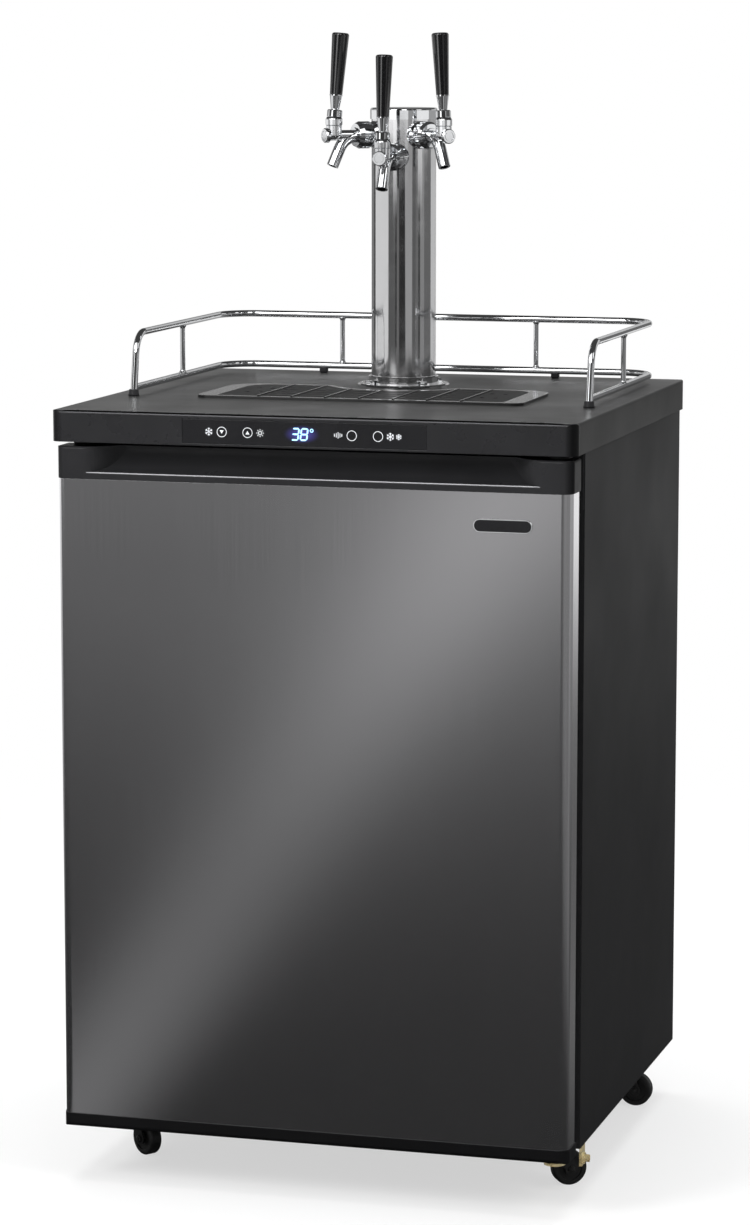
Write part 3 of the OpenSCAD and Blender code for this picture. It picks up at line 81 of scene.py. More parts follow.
class Finish:
    """A material: one Principled shader with small helpers for the textures that drive it."""

    def __init__(self, name, color, roughness, metallic=0.0, edge=0.0, **sockets):
        self.mat = bpy.data.materials.new(name)
        self.mat.use_nodes = True
        self.tree = self.mat.node_tree
        self.shader = self.tree.nodes["Principled BSDF"]
        self.color = color
        self.place = self.node("ShaderNodeTexCoord").outputs["Object"]
        self.normal = None
        if edge:
            bevel = self.node("ShaderNodeBevel", {"Radius": edge}, samples=EDGE_SAMPLES)
            self.normal = bevel.outputs["Normal"]
            self.feed(self.normal, "Normal")
        self.set("Base Color", (*color, 1))
        self.set("Roughness", roughness)
        self.set("Metallic", metallic)
        for socket, value in sockets.items():
            self.set(socket.replace("_", " ").title().replace("Ior", "IOR"), value)

    def set(self, socket, value):
        self.shader.inputs[socket].default_value = value

    def node(self, kind, inputs=(), **settings):
        made = self.tree.nodes.new(kind)
        for key, value in settings.items():
            setattr(made, key, value)
        for socket, value in dict(inputs).items():
            if hasattr(value, "is_output"):
                self.tree.links.new(value, made.inputs[socket])
            else:
                made.inputs[socket].default_value = value
        return made

    def feed(self, source, socket):
        self.tree.links.new(source, self.shader.inputs[socket])

    def show(self, surface):
        """Puts another shader's output in the place of the Principled one."""
        self.tree.links.new(surface, self.tree.nodes["Material Output"].inputs["Surface"])

    def calc(self, kind, a, b=0.0):
        return self.node("ShaderNodeMath", {0: a, 1: b}, operation=kind).outputs[0]

    def axis(self, letter):
        return self.node("ShaderNodeSeparateXYZ", {0: self.place}).outputs[letter]

    def away(self):
        """Distance from the frame's origin."""
        return self.node("ShaderNodeVectorMath", {0: self.place}, operation="LENGTH").outputs["Value"]

    def ramp(self, value, low, high, start, stop, kind="LINEAR"):
        """A number that goes from start to stop while value goes from low to high."""
        inputs = {"Value": value, "From Min": low, "From Max": high, "To Min": start, "To Max": stop}
        return self.node("ShaderNodeMapRange", inputs, interpolation_type=kind).outputs["Result"]

    def noise(self, scale, detail=3.0, stretch=(1, 1, 1)):
        scaled = self.node("ShaderNodeMapping", {"Vector": self.place, "Scale": stretch}).outputs["Vector"]
        inputs = {"Vector": scaled, "Scale": scale, "Detail": detail}
        return self.node("ShaderNodeTexNoise", inputs).outputs["Fac"]

    def cells(self, scale):
        return self.node("ShaderNodeTexVoronoi", {"Vector": self.place, "Scale": scale}).outputs["Distance"]

    def vary(self, socket, fac, low, high):
        """Drives a socket between two values by a noise."""
        self.feed(self.ramp(fac, NOISE_LOW, NOISE_HIGH, low, high), socket)

    def color_ramp(self, fac, stops):
        """Base colour between two (place, colour) stops."""
        ramp = self.node("ShaderNodeValToRGB", {"Fac": fac})
        for element, (place, color) in zip(ramp.color_ramp.elements, stops):
            element.position = place
            element.color = (*color, 1)
        self.feed(ramp.outputs["Color"], "Base Color")

    def tint(self, fac, low, high):
        """Base colour between two multiples of the finish's own colour."""
        colors = [[c * share for c in self.color] for share in (low, high)]
        self.color_ramp(fac, list(zip(TINT_STOPS, colors)))

    def beside(self, start, reach, inside, outside):
        """A number that changes from inside to outside where the distance from the middle passes start."""
        side = self.calc("ABSOLUTE", self.axis("X"))
        return self.ramp(side, start, start + reach, inside, outside)

    def shade(self, share):
        """Multiplies the base colour by a texture, which paints shade into it."""
        source = self.shader.inputs["Base Color"].links[0].from_socket
        shaded = self.node("ShaderNodeVectorMath", {0: source, "Scale": share}, operation="SCALE")
        self.feed(shaded.outputs["Vector"], "Base Color")

    def bump(self, height, strength, depth):
        inputs = {"Height": height, "Strength": strength, "Distance": depth}
        if self.normal:
            inputs["Normal"] = self.normal
        self.normal = self.node("ShaderNodeBump", inputs).outputs["Normal"]
        self.feed(self.normal, "Normal")


DULL_REACH, DULL_SPECULAR = 2 * MM, 0.03
# Over how far the painted shade on rounded ends comes in, and the share of the colour it leaves
PAINTED_SHADE_REACH, PAINTED_SHADE_SHARE = 8 * MM, 0.25
COAT_ROUGHNESS = 0.06


def grained_plastic(name, color, roughness, grain, strength, specular=0.5, dull_x=None):
    """Moulded plastic with a fine pebbled skin and slow changes of sheen, duller beyond dull_x."""
    made = Finish(name, color, roughness, edge=EDGE_ROUND, specular_ior_level=specular)
    if dull_x:
        made.feed(made.beside(dull_x, DULL_REACH, specular, DULL_SPECULAR), "Specular IOR Level")
    made.vary("Roughness", made.noise(scale=9), roughness - 0.05, roughness + 0.06)
    made.tint(made.noise(scale=grain / 3), low=0.9, high=1.12)
    made.bump(made.cells(scale=grain), strength, depth=0.2 * MM)
    return made.mat


def smooth_plastic(name, color, roughness, coat=0.0, specular=0.5, mottle=0.1, painted_shade_x=None):
    """Smooth moulded plastic with faint handling marks, and painted shade that makes it darker and duller
    where the distance from the middle along X passes a given limit.
    """
    made = Finish(name, color, roughness, edge=EDGE_ROUND, coat_weight=coat,
                  coat_roughness=COAT_ROUGHNESS, specular_ior_level=specular)
    made.vary("Roughness", made.noise(scale=38, detail=5), roughness - 0.04, roughness + 0.05)
    made.tint(made.noise(scale=16), low=1 - mottle, high=1 + mottle)
    # Painted shade: colour and sheen fall towards the rounded ends
    if painted_shade_x:
        made.shade(made.beside(painted_shade_x, PAINTED_SHADE_REACH, 1.0, PAINTED_SHADE_SHARE))
        sheen = made.beside(painted_shade_x, PAINTED_SHADE_REACH, specular, PAINTED_SHADE_SHARE * specular)
        made.feed(sheen, "Specular IOR Level")
    made.bump(made.noise(scale=420), strength=0.03, depth=0.1 * MM)
    return made.mat


def powder_coat(name, color, roughness, specular=0.5):
    """Powder-coated sheet with a fine orange peel."""
    made = Finish(name, color, roughness, edge=EDGE_ROUND, specular_ior_level=specular)
    made.vary("Roughness", made.noise(scale=6), roughness - 0.05, roughness + 0.05)
    made.tint(made.noise(scale=3), low=0.92, high=1.1)
    made.bump(made.noise(scale=900, detail=2), strength=0.12, depth=0.15 * MM)
    return made.mat


def brushed_steel(name, color, roughness, grain, strength=0.05, spread=0.1):
    """Rolled and brushed steel; grain squeezes the texture across the brushing."""
    made = Finish(name, color, roughness, metallic=1.0, edge=EDGE_ROUND)
    lines = made.noise(scale=60, detail=6, stretch=grain)
    made.vary("Roughness", lines, roughness * (1 - 2 * spread), roughness * (1 + 2 * spread))
    made.tint(lines, low=1 - spread, high=1 + spread)
    made.bump(lines, strength, depth=0.05 * MM)
    return made.mat


def polished_metal(name, color, roughness, grain=(1, 1, 1), strength=0.01):
    """Polished plating or stainless steel with faint polishing lines."""
    made = Finish(name, color, roughness, metallic=1.0)
    made.vary("Roughness", made.noise(scale=45, detail=5), roughness * 0.6, roughness * 1.7)
    made.bump(made.noise(scale=30, detail=4, stretch=grain), strength, depth=0.1 * MM)
    return made.mat


def zinc_plate():
    """Yellow zinc plate: gold that drifts from brownish to pale."""
    made = Finish("zinc_plate", (0.78, 0.6, 0.27), roughness=0.3, metallic=0.55)
    brown, pale = (0.62, 0.42, 0.14), (0.9, 0.8, 0.5)
    made.color_ramp(made.noise(scale=60, detail=4), [(0.3, brown), (0.68, pale)])
    made.vary("Roughness", made.noise(scale=140, detail=4), low=0.2, high=0.42)
    made.bump(made.noise(scale=300), strength=0.1, depth=0.1 * MM)
    return made.mat


def foam(name, color):
    """Blown foam with a fine open skin."""
    made = Finish(name, color, roughness=0.9)
    made.tint(made.noise(scale=40), low=0.92, high=1.05)
    made.bump(made.cells(scale=260), strength=0.4, depth=0.6 * MM)
    return made.mat


RIB_FOOT, RIB_CREST = 0.2 * MM, 0.7 * MM


def grille_satin():
    """Dull black plate whose raised ribs are rubbed to a shine."""
    made = Finish("grille_satin", (0.006, 0.006, 0.006), roughness=0.4, edge=0.5 * MM)
    plate_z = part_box("drip_tray")[1].z
    worn = made.ramp(made.axis("Z"), plate_z + RIB_FOOT, plate_z + RIB_CREST, 0.0, 1.0)
    for socket, plate, rib in (("Specular IOR Level", 0.12, 0.7), ("Roughness", 0.42, 0.12)):
        made.feed(made.ramp(worn, 0.0, 1.0, plate, rib), socket)
    made.tint(made.noise(scale=16), low=0.9, high=1.1)
    made.bump(made.noise(scale=420), strength=0.03, depth=0.1 * MM)
    return made.mat


def light_print(name, color, glow):
    """Printed or lit mark, very slightly mottled, giving out light at the level glow; on a printed mark
    that glow is painted light.
    """
    made = Finish(name, color, roughness=0.4, emission_color=(*color, 1), emission_strength=glow)
    made.vary("Roughness", made.noise(scale=300), low=0.35, high=0.5)
    return made.mat


PANEL_BLACK = (0.011, 0.011, 0.0125)
# One finish for each material slot of the record
FINISHES = {
    "cabinet_paint": powder_coat("cabinet_paint", (0.012, 0.012, 0.0128), 0.5, specular=0.12),
    "foam": foam("blown_foam", (0.82, 0.72, 0.46)),
    "liner_plastic": smooth_plastic("liner_plastic", (0.66, 0.67, 0.685), 0.35, mottle=0.012),
    "worktop_plastic": grained_plastic("worktop_plastic", (0.019, 0.019, 0.019), 0.33, grain=1500,
                                       strength=0.04, specular=0.3, dull_x=297 * MM),
    # painted shade darkens the fascia's rounded ends
    "fascia_plastic": smooth_plastic("fascia_plastic", (0.0165, 0.0165, 0.0182), 0.28, painted_shade_x=286 * MM),
    "panel_plastic": smooth_plastic("panel_plastic", PANEL_BLACK, 0.22),
    "chrome": polished_metal("chrome", (0.86, 0.87, 0.885), 0.05),
    "polished_steel": polished_metal("polished_steel", (0.8, 0.8, 0.81), 0.08, grain=(1, 1, 0.02),
                                     strength=0.02),
    "door_steel": brushed_steel("door_steel", (0.8, 0.794, 0.814), 0.16, grain=(14, 14, 0.1),
                                strength=0.006, spread=0.03),
    # painted shade darkens the rounded ends of the door cap and the other black plastic
    "black_plastic": smooth_plastic("black_plastic", (0.022, 0.022, 0.0235), 0.3, specular=0.12,
                                    painted_shade_x=286 * MM),
    "handle_plastic": smooth_plastic("handle_plastic", (0.004, 0.004, 0.0045), 0.12, coat=1.0),
    "seal_rubber": grained_plastic("seal_rubber", (0.012, 0.012, 0.012), 0.7, grain=600, strength=0.15),
    "zinc_plate": zinc_plate(),
    "compressor_paint": smooth_plastic("compressor_paint", (0.016, 0.016, 0.017), 0.25),
    "copper": polished_metal("copper", (0.78, 0.42, 0.26), 0.2),
    "evaporator_aluminium": brushed_steel("evaporator_aluminium", (0.72, 0.73, 0.74), 0.4,
                                          grain=(0.3, 6, 6)),
    "floor_steel": brushed_steel("floor_steel", (0.55, 0.55, 0.56), 0.35, grain=(0.3, 6, 6)),
    "caster_steel": powder_coat("caster_steel", (0.008, 0.008, 0.008), 0.4),
    "caster_plastic": grained_plastic("caster_plastic", (0.006, 0.006, 0.006), 0.5, grain=500,
                                      strength=0.1),
}
# Nodes that look different from the rest of their slot
OWN_FINISH = {
    "drip_tray": smooth_plastic("tray_gloss", (0.005, 0.005, 0.005), 0.12, coat=0.6),
    "drip_grille": grille_satin(),
    "door_bottom_trim": smooth_plastic("trim_plastic", (0.0035, 0.0035, 0.004), 0.4, specular=0.2),
    "door_foam": foam("door_foam", (0.66, 0.67, 0.67)),
    "back_panel": powder_coat("back_paint", (0.03, 0.03, 0.032), 0.42),
}
# White print that also glows faintly though it is no lamp: painted light
WHITE_PRINT_GLOW = light_print("white_print_painted_glow", (0.8, 0.82, 0.85), glow=0.15)
LED_LIGHT = light_print("led_light", (0.36, 0.7, 1.0), glow=1.1)
# Pale grey standing in for the highlight along the grip's lip: painted highlight
LIP_HIGHLIGHT = smooth_plastic("lip_painted_highlight", (0.42, 0.42, 0.44), 0.3, mottle=0.03)
# Dark grey for the highlight on the fascia's upper edge and near black for the dark reflection above it:
# painted highlight and painted dark reflection
EDGE_HIGHLIGHT = smooth_plastic("edge_painted_highlight", (0.075, 0.075, 0.08), 0.35, mottle=0.03)
EDGE_DARK_REFLECTION = smooth_plastic("edge_painted_dark_reflection", (0.002, 0.002, 0.002), 0.6, specular=0.05)


def dress_cad_nodes():
    for part in frame["record"]["subparts"]:
        piece = nodes[part["node"]]
        finish = OWN_FINISH.get(part["node"], FINISHES[part["material_slot"]])
        piece.data.materials.clear()
        piece.data.materials.append(finish)


def add_piece(name, mesh, finish, body):
    mesh.materials.append(finish)
    piece = bpy.data.objects.new(name, mesh)
    bpy.context.collection.objects.link(piece)
    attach(piece, body)
    return piece


def mesh_of(name, made):
    """Closes a bmesh into mesh data with outward faces."""
    bmesh.ops.recalc_face_normals(made, faces=made.faces)
    data = bpy.data.meshes.new(name)
    made.to_mesh(data)
    made.free()
    return data


def flat_mark(name, shapes, face_y, thickness):
    """Thin raised marks on an upright front face; each shape is a list of (x, z) corners."""
    made = bmesh.new()
    for shape in shapes:
        front = [made.verts.new((x, face_y - thickness, z)) for x, z in shape]
        rear = [made.verts.new((x, face_y + thickness, z)) for x, z in shape]
        made.faces.new(front)
        made.faces.new(rear)
        for k in range(len(shape)):
            made.faces.new((front[k - 1], front[k], rear[k], rear[k - 1]))
    return mesh_of(name, made)


def lathe(name, profile, at, axis, steps=48):
    """Solid of revolution: profile holds (radius, distance along axis) pairs from one end to the other."""
    made = bmesh.new()
    turn = Vector((0, 0, 1)).rotation_difference(Vector(axis)).to_matrix()
    rings = []
    for radius, along in profile:
        ring = []
        for k in range(steps):
            angle = 2 * math.pi * k / steps
            spot = turn @ Vector((radius * math.cos(angle), radius * math.sin(angle), along))
            ring.append(made.verts.new(spot + Vector(at)))
        rings.append(ring)
    for low, high in zip(rings, rings[1:]):
        for k in range(steps):
            made.faces.new((low[k - 1], low[k], high[k], high[k - 1]))
    made.faces.new(rings[0])
    made.faces.new(rings[-1])
    for face in made.faces:
        face.smooth = len(face.verts) == 4
    return mesh_of(name, made)


def ring_shapes(x, z, radius, width, steps=48):
    """A flat ring cut into four-cornered steps."""
    def corner(r, k):
        angle = 2 * math.pi * k / steps
        return (x + r * math.cos(angle), z + r * math.sin(angle))

    inner = radius - width
    return [[corner(radius, k), corner(radius, k + 1), corner(inner, k + 1), corner(inner, k)]
            for k in range(steps)]


def stroke(x1, z1, x2, z2, width):
    """A straight stroke with square ends."""
    run = math.hypot(x2 - x1, z2 - z1)
    dx, dz = (z2 - z1) / run * width / 2, (x1 - x2) / run * width / 2
    return [(x1 + dx, z1 + dz), (x2 + dx, z2 + dz), (x2 - dx, z2 - dz), (x1 - dx, z1 - dz)]


def ray(x, z, angle, start, stop, width):
    """A stroke that points away from a spot, between two distances from it."""
    ux, uz = math.cos(angle), math.sin(angle)
    return stroke(x + start * ux, z + start * uz, x + stop * ux, z + stop * uz, width)


PANEL_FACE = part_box("control_panel")[0].y
BUTTON_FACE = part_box("button_cooler")[0].y
BUTTON_Z = 863 * MM
BUTTON_X = {"cooler": -99.65 * MM, "warmer": -69.95 * MM, "units": 48.95 * MM, "chill": 78.65 * MM}
BUTTON_RING_R, BUTTON_RING_W = 5.7 * MM, 0.65 * MM
ARROW_WAY = {"cooler": -1, "warmer": 1}
ARROW_HALF, ARROW_RISE = 2.3 * MM, 1.9 * MM
PRINT_T = 0.06 * MM


def add_button_prints():
    """White rings on the buttons, with a down and an up arrow on the first two."""
    for name, x in BUTTON_X.items():
        shapes = ring_shapes(x, BUTTON_Z, BUTTON_RING_R, BUTTON_RING_W)
        if name in ARROW_WAY:
            rise = ARROW_WAY[name] * ARROW_RISE
            foot_z = BUTTON_Z - rise
            shapes.append([(x - ARROW_HALF, foot_z), (x + ARROW_HALF, foot_z), (x, BUTTON_Z + rise)])
        mesh = flat_mark(f"print_{name}", shapes, BUTTON_FACE, PRINT_T)
        add_piece(f"button_print_{name}", mesh, WHITE_PRINT_GLOW, f"button_{name}")


ICON_STROKE = 0.75 * MM
FLAKE_X, SUN_X, SCALE_X, LARGE_FLAKE_X, SMALL_FLAKE_X = (
    -114.5 * MM, -55.5 * MM, 33.5 * MM, 92.5 * MM, 102.0 * MM)
ICON_REACH, SCALE_REACH, SMALL_FLAKE_REACH = 4.4 * MM, 3.6 * MM, 3.2 * MM
# Where a flake's twigs leave its arm, how long they are, how far they lean and how thick they are
TWIG_PLACE, TWIG_LENGTH, TWIG_LEAN, TWIG_STROKE = 0.6, 0.38, math.radians(50), 0.85 * ICON_STROKE
SUN_DISC, SUN_RAY_START, SUN_RING_STEPS = 0.5, 0.68, 24
SCALE_STEP = 2.1 * MM
SCALE_STROKES = ((-2, 0.45), (-1, 0.65), (0, 0.95), (1, 0.65), (2, 0.45))


def flake_icon(x, z, reach):
    """Six-armed flake with two twigs on each arm."""
    shapes = []
    for k in range(6):
        angle = math.radians(90 + 60 * k)
        shapes.append(ray(x, z, angle, 0, reach, ICON_STROKE))
        fork_x = x + TWIG_PLACE * reach * math.cos(angle)
        fork_z = z + TWIG_PLACE * reach * math.sin(angle)
        for lean in (-TWIG_LEAN, TWIG_LEAN):
            shapes.append(ray(fork_x, fork_z, angle + lean, 0, TWIG_LENGTH * reach, TWIG_STROKE))
    return shapes


def sun_icon(x, z, reach):
    """Ring with eight rays."""
    shapes = ring_shapes(x, z, SUN_DISC * reach, ICON_STROKE, SUN_RING_STEPS)
    for k in range(8):
        shapes.append(ray(x, z, math.radians(45 * k), SUN_RAY_START * reach, reach, ICON_STROKE))
    return shapes


def scale_icon(x, z, reach):
    """Small scale of five upright strokes, long in the middle."""
    return [stroke(x + k * SCALE_STEP, z - size * reach, x + k * SCALE_STEP, z + size * reach, ICON_STROKE)
            for k, size in SCALE_STROKES]


def add_panel_prints():
    """Plain icons beside the buttons."""
    shapes = flake_icon(FLAKE_X, BUTTON_Z, ICON_REACH)
    shapes += sun_icon(SUN_X, BUTTON_Z, ICON_REACH)
    shapes += scale_icon(SCALE_X, BUTTON_Z, SCALE_REACH)
    shapes += flake_icon(LARGE_FLAKE_X, BUTTON_Z, ICON_REACH)
    shapes += flake_icon(SMALL_FLAKE_X, BUTTON_Z, SMALL_FLAKE_REACH)
    mesh = flat_mark("panel_icons", shapes, PANEL_FACE, PRINT_T)
    add_piece("panel_icons", mesh, WHITE_PRINT_GLOW, "cabinet")


DISPLAY_X, DISPLAY_Z = -8 * MM, 862.8 * MM
DIGIT_W, DIGIT_H, DIGIT_LEAN = 7.2 * MM, 12.4 * MM, 0.12
BAR_W, BAR_GAP = 1.75 * MM, 0.21 * MM
DIGIT_X = {"3": -15.2 * MM, "8": -5.2 * MM}
LIT_BARS = {"3": "abcdg", "8": "abcdefg"}
# Ends of the seven bars, in half widths and half heights from the digit's middle
BAR_ENDS = {"a": (-1, 1, 1, 1), "b": (1, 1, 1, 0), "c": (1, 0, 1, -1), "d": (-1, -1, 1, -1),
            "e": (-1, 0, -1, -1), "f": (-1, 1, -1, 0), "g": (-1, 0, 1, 0)}
DEGREE_X, DEGREE_RISE, DEGREE_R, DEGREE_W = 3.4 * MM, 4.4 * MM, 2.1 * MM, 0.95 * MM
DEGREE_STEPS = 24


def digit_shapes(number, x, z):
    """Lit bars of one seven-bar digit, leaning to the right."""
    half_w, half_h, side = DIGIT_W / 2, DIGIT_H / 2, BAR_W / 2
    shapes = []
    for bar in LIT_BARS[number]:
        left, upper, right, lower = BAR_ENDS[bar]
        x1, z1, x2, z2 = left * half_w, upper * half_h, right * half_w, lower * half_h
        run = math.hypot(x2 - x1, z2 - z1)
        ux, uz = (x2 - x1) / run, (z2 - z1) / run
        tip, far_tip = BAR_GAP, run - BAR_GAP
        outline = [(tip, 0), (tip + side, side), (far_tip - side, side),
                   (far_tip, 0), (far_tip - side, -side), (tip + side, -side)]
        points = [(x1 + a * ux - b * uz, z1 + a * uz + b * ux) for a, b in outline]
        shapes.append([(x + px + DIGIT_LEAN * pz, z + pz) for px, pz in points])
    return shapes


WINDOW_HALF_W, WINDOW_HALF_H = 22 * MM, 11 * MM
WINDOW_ROUND = 0.45 * WINDOW_HALF_H
WINDOW_GLOW, WINDOW_GLOW_COLOR = 0.75, (0.1, 0.085, 0.5, 1)


def glow_window():
    """Panel plastic with a blue glow that fades out from the lit digits."""
    made = Finish("glow_window", PANEL_BLACK, roughness=0.22, emission_color=WINDOW_GLOW_COLOR)
    centred = made.node("ShaderNodeMapping", {
        "Vector": made.place,
        "Scale": (1 / WINDOW_HALF_W, 0, 1 / WINDOW_HALF_H),
        "Location": (-DISPLAY_X / WINDOW_HALF_W, 0, -DISPLAY_Z / WINDOW_HALF_H),
    })
    fall = made.node("ShaderNodeTexGradient", {"Vector": centred.outputs["Vector"]},
                     gradient_type="SPHERICAL")
    level = made.ramp(fall.outputs["Fac"], 0.0, 1.0, 0.0, WINDOW_GLOW, "SMOOTHSTEP")
    made.feed(level, "Emission Strength")
    made.vary("Roughness", made.noise(scale=38, detail=5), low=0.18, high=0.27)
    return made.mat


def window_outline(steps=10):
    """Rounded rectangle round the digits."""
    outline = []
    for k, (sx, sz) in enumerate(((1, 1), (-1, 1), (-1, -1), (1, -1))):
        for j in range(steps + 1):
            angle = math.pi / 2 * (k + j / steps)
            x = DISPLAY_X + sx * (WINDOW_HALF_W - WINDOW_ROUND) + WINDOW_ROUND * math.cos(angle)
            z = DISPLAY_Z + sz * (WINDOW_HALF_H - WINDOW_ROUND) + WINDOW_ROUND * math.sin(angle)
            outline.append((x, z))
    return outline


def add_display():
    """Lit temperature: two digits and a degree ring before a faintly glowing window."""
    window = flat_mark("display_window", [window_outline()], PANEL_FACE, PRINT_T / 2)
    add_piece("display_window", window, glow_window(), "cabinet")
    shapes = []
    for number, x in DIGIT_X.items():
        shapes += digit_shapes(number, x, DISPLAY_Z)
    shapes += ring_shapes(DEGREE_X, DISPLAY_Z + DEGREE_RISE, DEGREE_R, DEGREE_W, DEGREE_STEPS)
    digits = flat_mark("display_digits", shapes, PANEL_FACE, PRINT_T)
    add_piece("display_digits", digits, LED_LIGHT, "cabinet")


BADGE_AT = (218 * MM, 769.5 * MM)
BADGE_HALF_W, BADGE_HALF_H = 33 * MM, 7.5 * MM
BADGE_END_STEPS = 16
# Inset from the badge's outline and height over the door's face, in millimetres
BADGE_RIM = ((0, 0), (0, 0.7), (0.3, 1.0), (1.0, 1.0), (1.2, 0.5))
BADGE_PLATE = ((1.1, 0.3), (1.1, 0.7), (1.4, 0.8))


def stadium_stack(name, steps):
    """Bar with round ends on the door's face; steps are (inset, height) pairs from foot to middle."""
    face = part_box("door_skin")[0].y
    x, z = BADGE_AT
    straight = BADGE_HALF_W - BADGE_HALF_H
    made = bmesh.new()
    loops = []
    for inset, height in steps:
        r = BADGE_HALF_H - inset * MM
        loop = []
        for end in (1, -1):
            for k in range(BADGE_END_STEPS + 1):
                angle = math.pi * (k / BADGE_END_STEPS - 0.5)
                along = end * (straight + r * math.cos(angle))
                loop.append(made.verts.new((x + along, face - height * MM, z + end * r * math.sin(angle))))
        loops.append(loop)
    for low, high in zip(loops, loops[1:]):
        for k in range(len(low)):
            made.faces.new((low[k - 1], low[k], high[k], high[k - 1]))
    made.faces.new(loops[-1])
    made.faces.new(loops[0])
    return mesh_of(name, made)


def add_badge():
    """Bare dark plate in a thin bright rim at the door's upper right."""
    add_piece("badge_rim", stadium_stack("badge_rim", BADGE_RIM), FINISHES["chrome"], "door")
    plate = stadium_stack("badge_plate", BADGE_PLATE)
    add_piece("badge_plate", plate, FINISHES["panel_plastic"], "door")


# Share of a bead's radius, and distance from its end in millimetres
BEAD_TAPER = ((0.1, 0), (0.6, 3), (1.0, 14))
BEAD_STEPS = 16
LIP_EDGE_R, LIP_RISE, LIP_HALF, LIP_BEAD_R = 2.5 * MM, 8 * MM, 262 * MM, 0.65 * MM
TOP_EDGE_R, TOP_EDGE_HALF = 3 * MM, 287 * MM
# Radius, and angle up the rounded edge from the front, of the painted dark reflection and of the painted
# highlight under it
DARK_REFLECTION_R, DARK_REFLECTION_LIFT = 1.1 * MM, math.radians(62)
TOP_HIGHLIGHT_R, TOP_HIGHLIGHT_LIFT = 0.8 * MM, math.radians(20)


def bead_mesh(name, half, radius, y, z):
    """Thin bead along X, thinned out at both ends."""
    profile = [(radius * share, along * MM) for share, along in BEAD_TAPER]
    profile += [(r, 2 * half - along) for r, along in reversed(profile)]
    return lathe(name, profile, (-half, y, z), (1, 0, 0), BEAD_STEPS)


def add_grip_lip():
    """Bright bead along the rounded lip of the door's grip, standing in for its highlight: a painted
    highlight.
    """
    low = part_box("door_cap")[0]
    inset = LIP_EDGE_R * (1 - math.sqrt(0.5))
    mesh = bead_mesh("grip_lip_painted_highlight", LIP_HALF, LIP_BEAD_R, low.y + inset, low.z + LIP_RISE - inset)
    add_piece("grip_lip_painted_highlight", mesh, LIP_HIGHLIGHT, "door")


def add_fascia_edge():
    """Near-black bead along the fascia's rounded upper edge with a paler bead under it: a painted dark
    reflection above a painted highlight.
    """
    low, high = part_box("control_fascia")
    for name, lift, radius, finish in (("fascia_painted_dark_reflection", DARK_REFLECTION_LIFT, DARK_REFLECTION_R, EDGE_DARK_REFLECTION),
                                       ("fascia_painted_highlight", TOP_HIGHLIGHT_LIFT, TOP_HIGHLIGHT_R, EDGE_HIGHLIGHT)):
        y = low.y + TOP_EDGE_R * (1 - math.cos(lift))
        z = high.z - TOP_EDGE_R * (1 - math.sin(lift))
        mesh = bead_mesh(name, TOP_EDGE_HALF, radius, y, z)
        add_piece(name, mesh, finish, "cabinet")


RAIL_R = 4 * MM
UPRIGHT_R = 3 * MM
UPRIGHT_X = 122 * MM
SIDE_UPRIGHT_Y = 82.5 * MM
# Radius in upright radii, and distance from the rail's axis in rail radii
WELD = ((0.5, 0.55), (1.5, 0.6), (1.52, 0.85), (1.4, 1.05),
        (1.2, 1.2), (1.06, 1.4), (1.02, 1.6), (0.5, 1.65))
WELD_STEPS = 32


def add_weld_beads():
    """Small beads where the guard rail's uprights meet the two tubes."""
    side_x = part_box("upper_rail")[1].x - RAIL_R
    back_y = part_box("upper_rail")[1].y - RAIL_R
    upper_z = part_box("upper_rail")[1].z - RAIL_R
    lower_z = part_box("lower_rail")[1].z - RAIL_R
    bead = [(UPRIGHT_R * share, RAIL_R * along) for share, along in WELD]
    spots = {"side_left": (-side_x, SIDE_UPRIGHT_Y), "side_right": (side_x, SIDE_UPRIGHT_Y),
             "back_left": (-UPRIGHT_X, back_y), "back_right": (UPRIGHT_X, back_y)}
    for name, (x, y) in spots.items():
        for level, z, way in (("low", lower_z, 1), ("high", upper_z, -1)):
            mesh = lathe(f"weld_{name}_{level}", bead, (x, y, z), (0, 0, way), WELD_STEPS)
            add_piece(f"weld_{name}_{level}", mesh, FINISHES["chrome"], "cabinet")


# Radius and height along the sleeve round each front post, in millimetres
POST_SLEEVE = ((6.4, 0.0), (6.4, 1.4), (6.0, 2.2), (5.7, 6.2), (5.3, 7.0), (4.4, 7.3))
CAD_SLEEVE_R = 8 * MM
BACK_FOOT_X = 146 * MM
BACK_FOOT_HALF_X, BACK_FOOT_HALF_Y = 4.6 * MM, 4.2 * MM
BACK_FOOT_BEVEL, BACK_FOOT_BEVEL_STEPS = 1.0 * MM, 3


def add_rail_feet():
    """Rubber sleeves round the rail's front posts and bevelled blocks under its back run."""
    low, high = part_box("rail_feet")
    block_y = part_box("lower_rail")[1].y - RAIL_R
    half = Vector((BACK_FOOT_HALF_X, BACK_FOOT_HALF_Y, (high.z - low.z) / 2))
    made = bmesh.new()
    for side in (-1, 1):
        middle = Vector((side * BACK_FOOT_X, block_y, (low.z + high.z) / 2))
        for vert in bmesh.ops.create_cube(made, size=2.0)["verts"]:
            vert.co = middle + vert.co * half
    bmesh.ops.bevel(made, geom=made.edges[:], offset=BACK_FOOT_BEVEL, segments=BACK_FOOT_BEVEL_STEPS,
                    affect="EDGES")
    rubber = FINISHES["black_plastic"]
    blocks = mesh_of("rail_back_blocks", made)
    feet = add_piece("rail_back_blocks", blocks, rubber, "cabinet")
    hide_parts("rail_feet")
    profile = [(r * MM, h * MM) for r, h in POST_SLEEVE]
    for name, x in (("left", low.x + CAD_SLEEVE_R), ("right", high.x - CAD_SLEEVE_R)):
        mesh = lathe(f"rail_sleeve_{name}", profile, (x, low.y + CAD_SLEEVE_R, low.z), (0, 0, 1))
        add_piece(f"rail_sleeve_{name}", mesh, rubber, "cabinet")


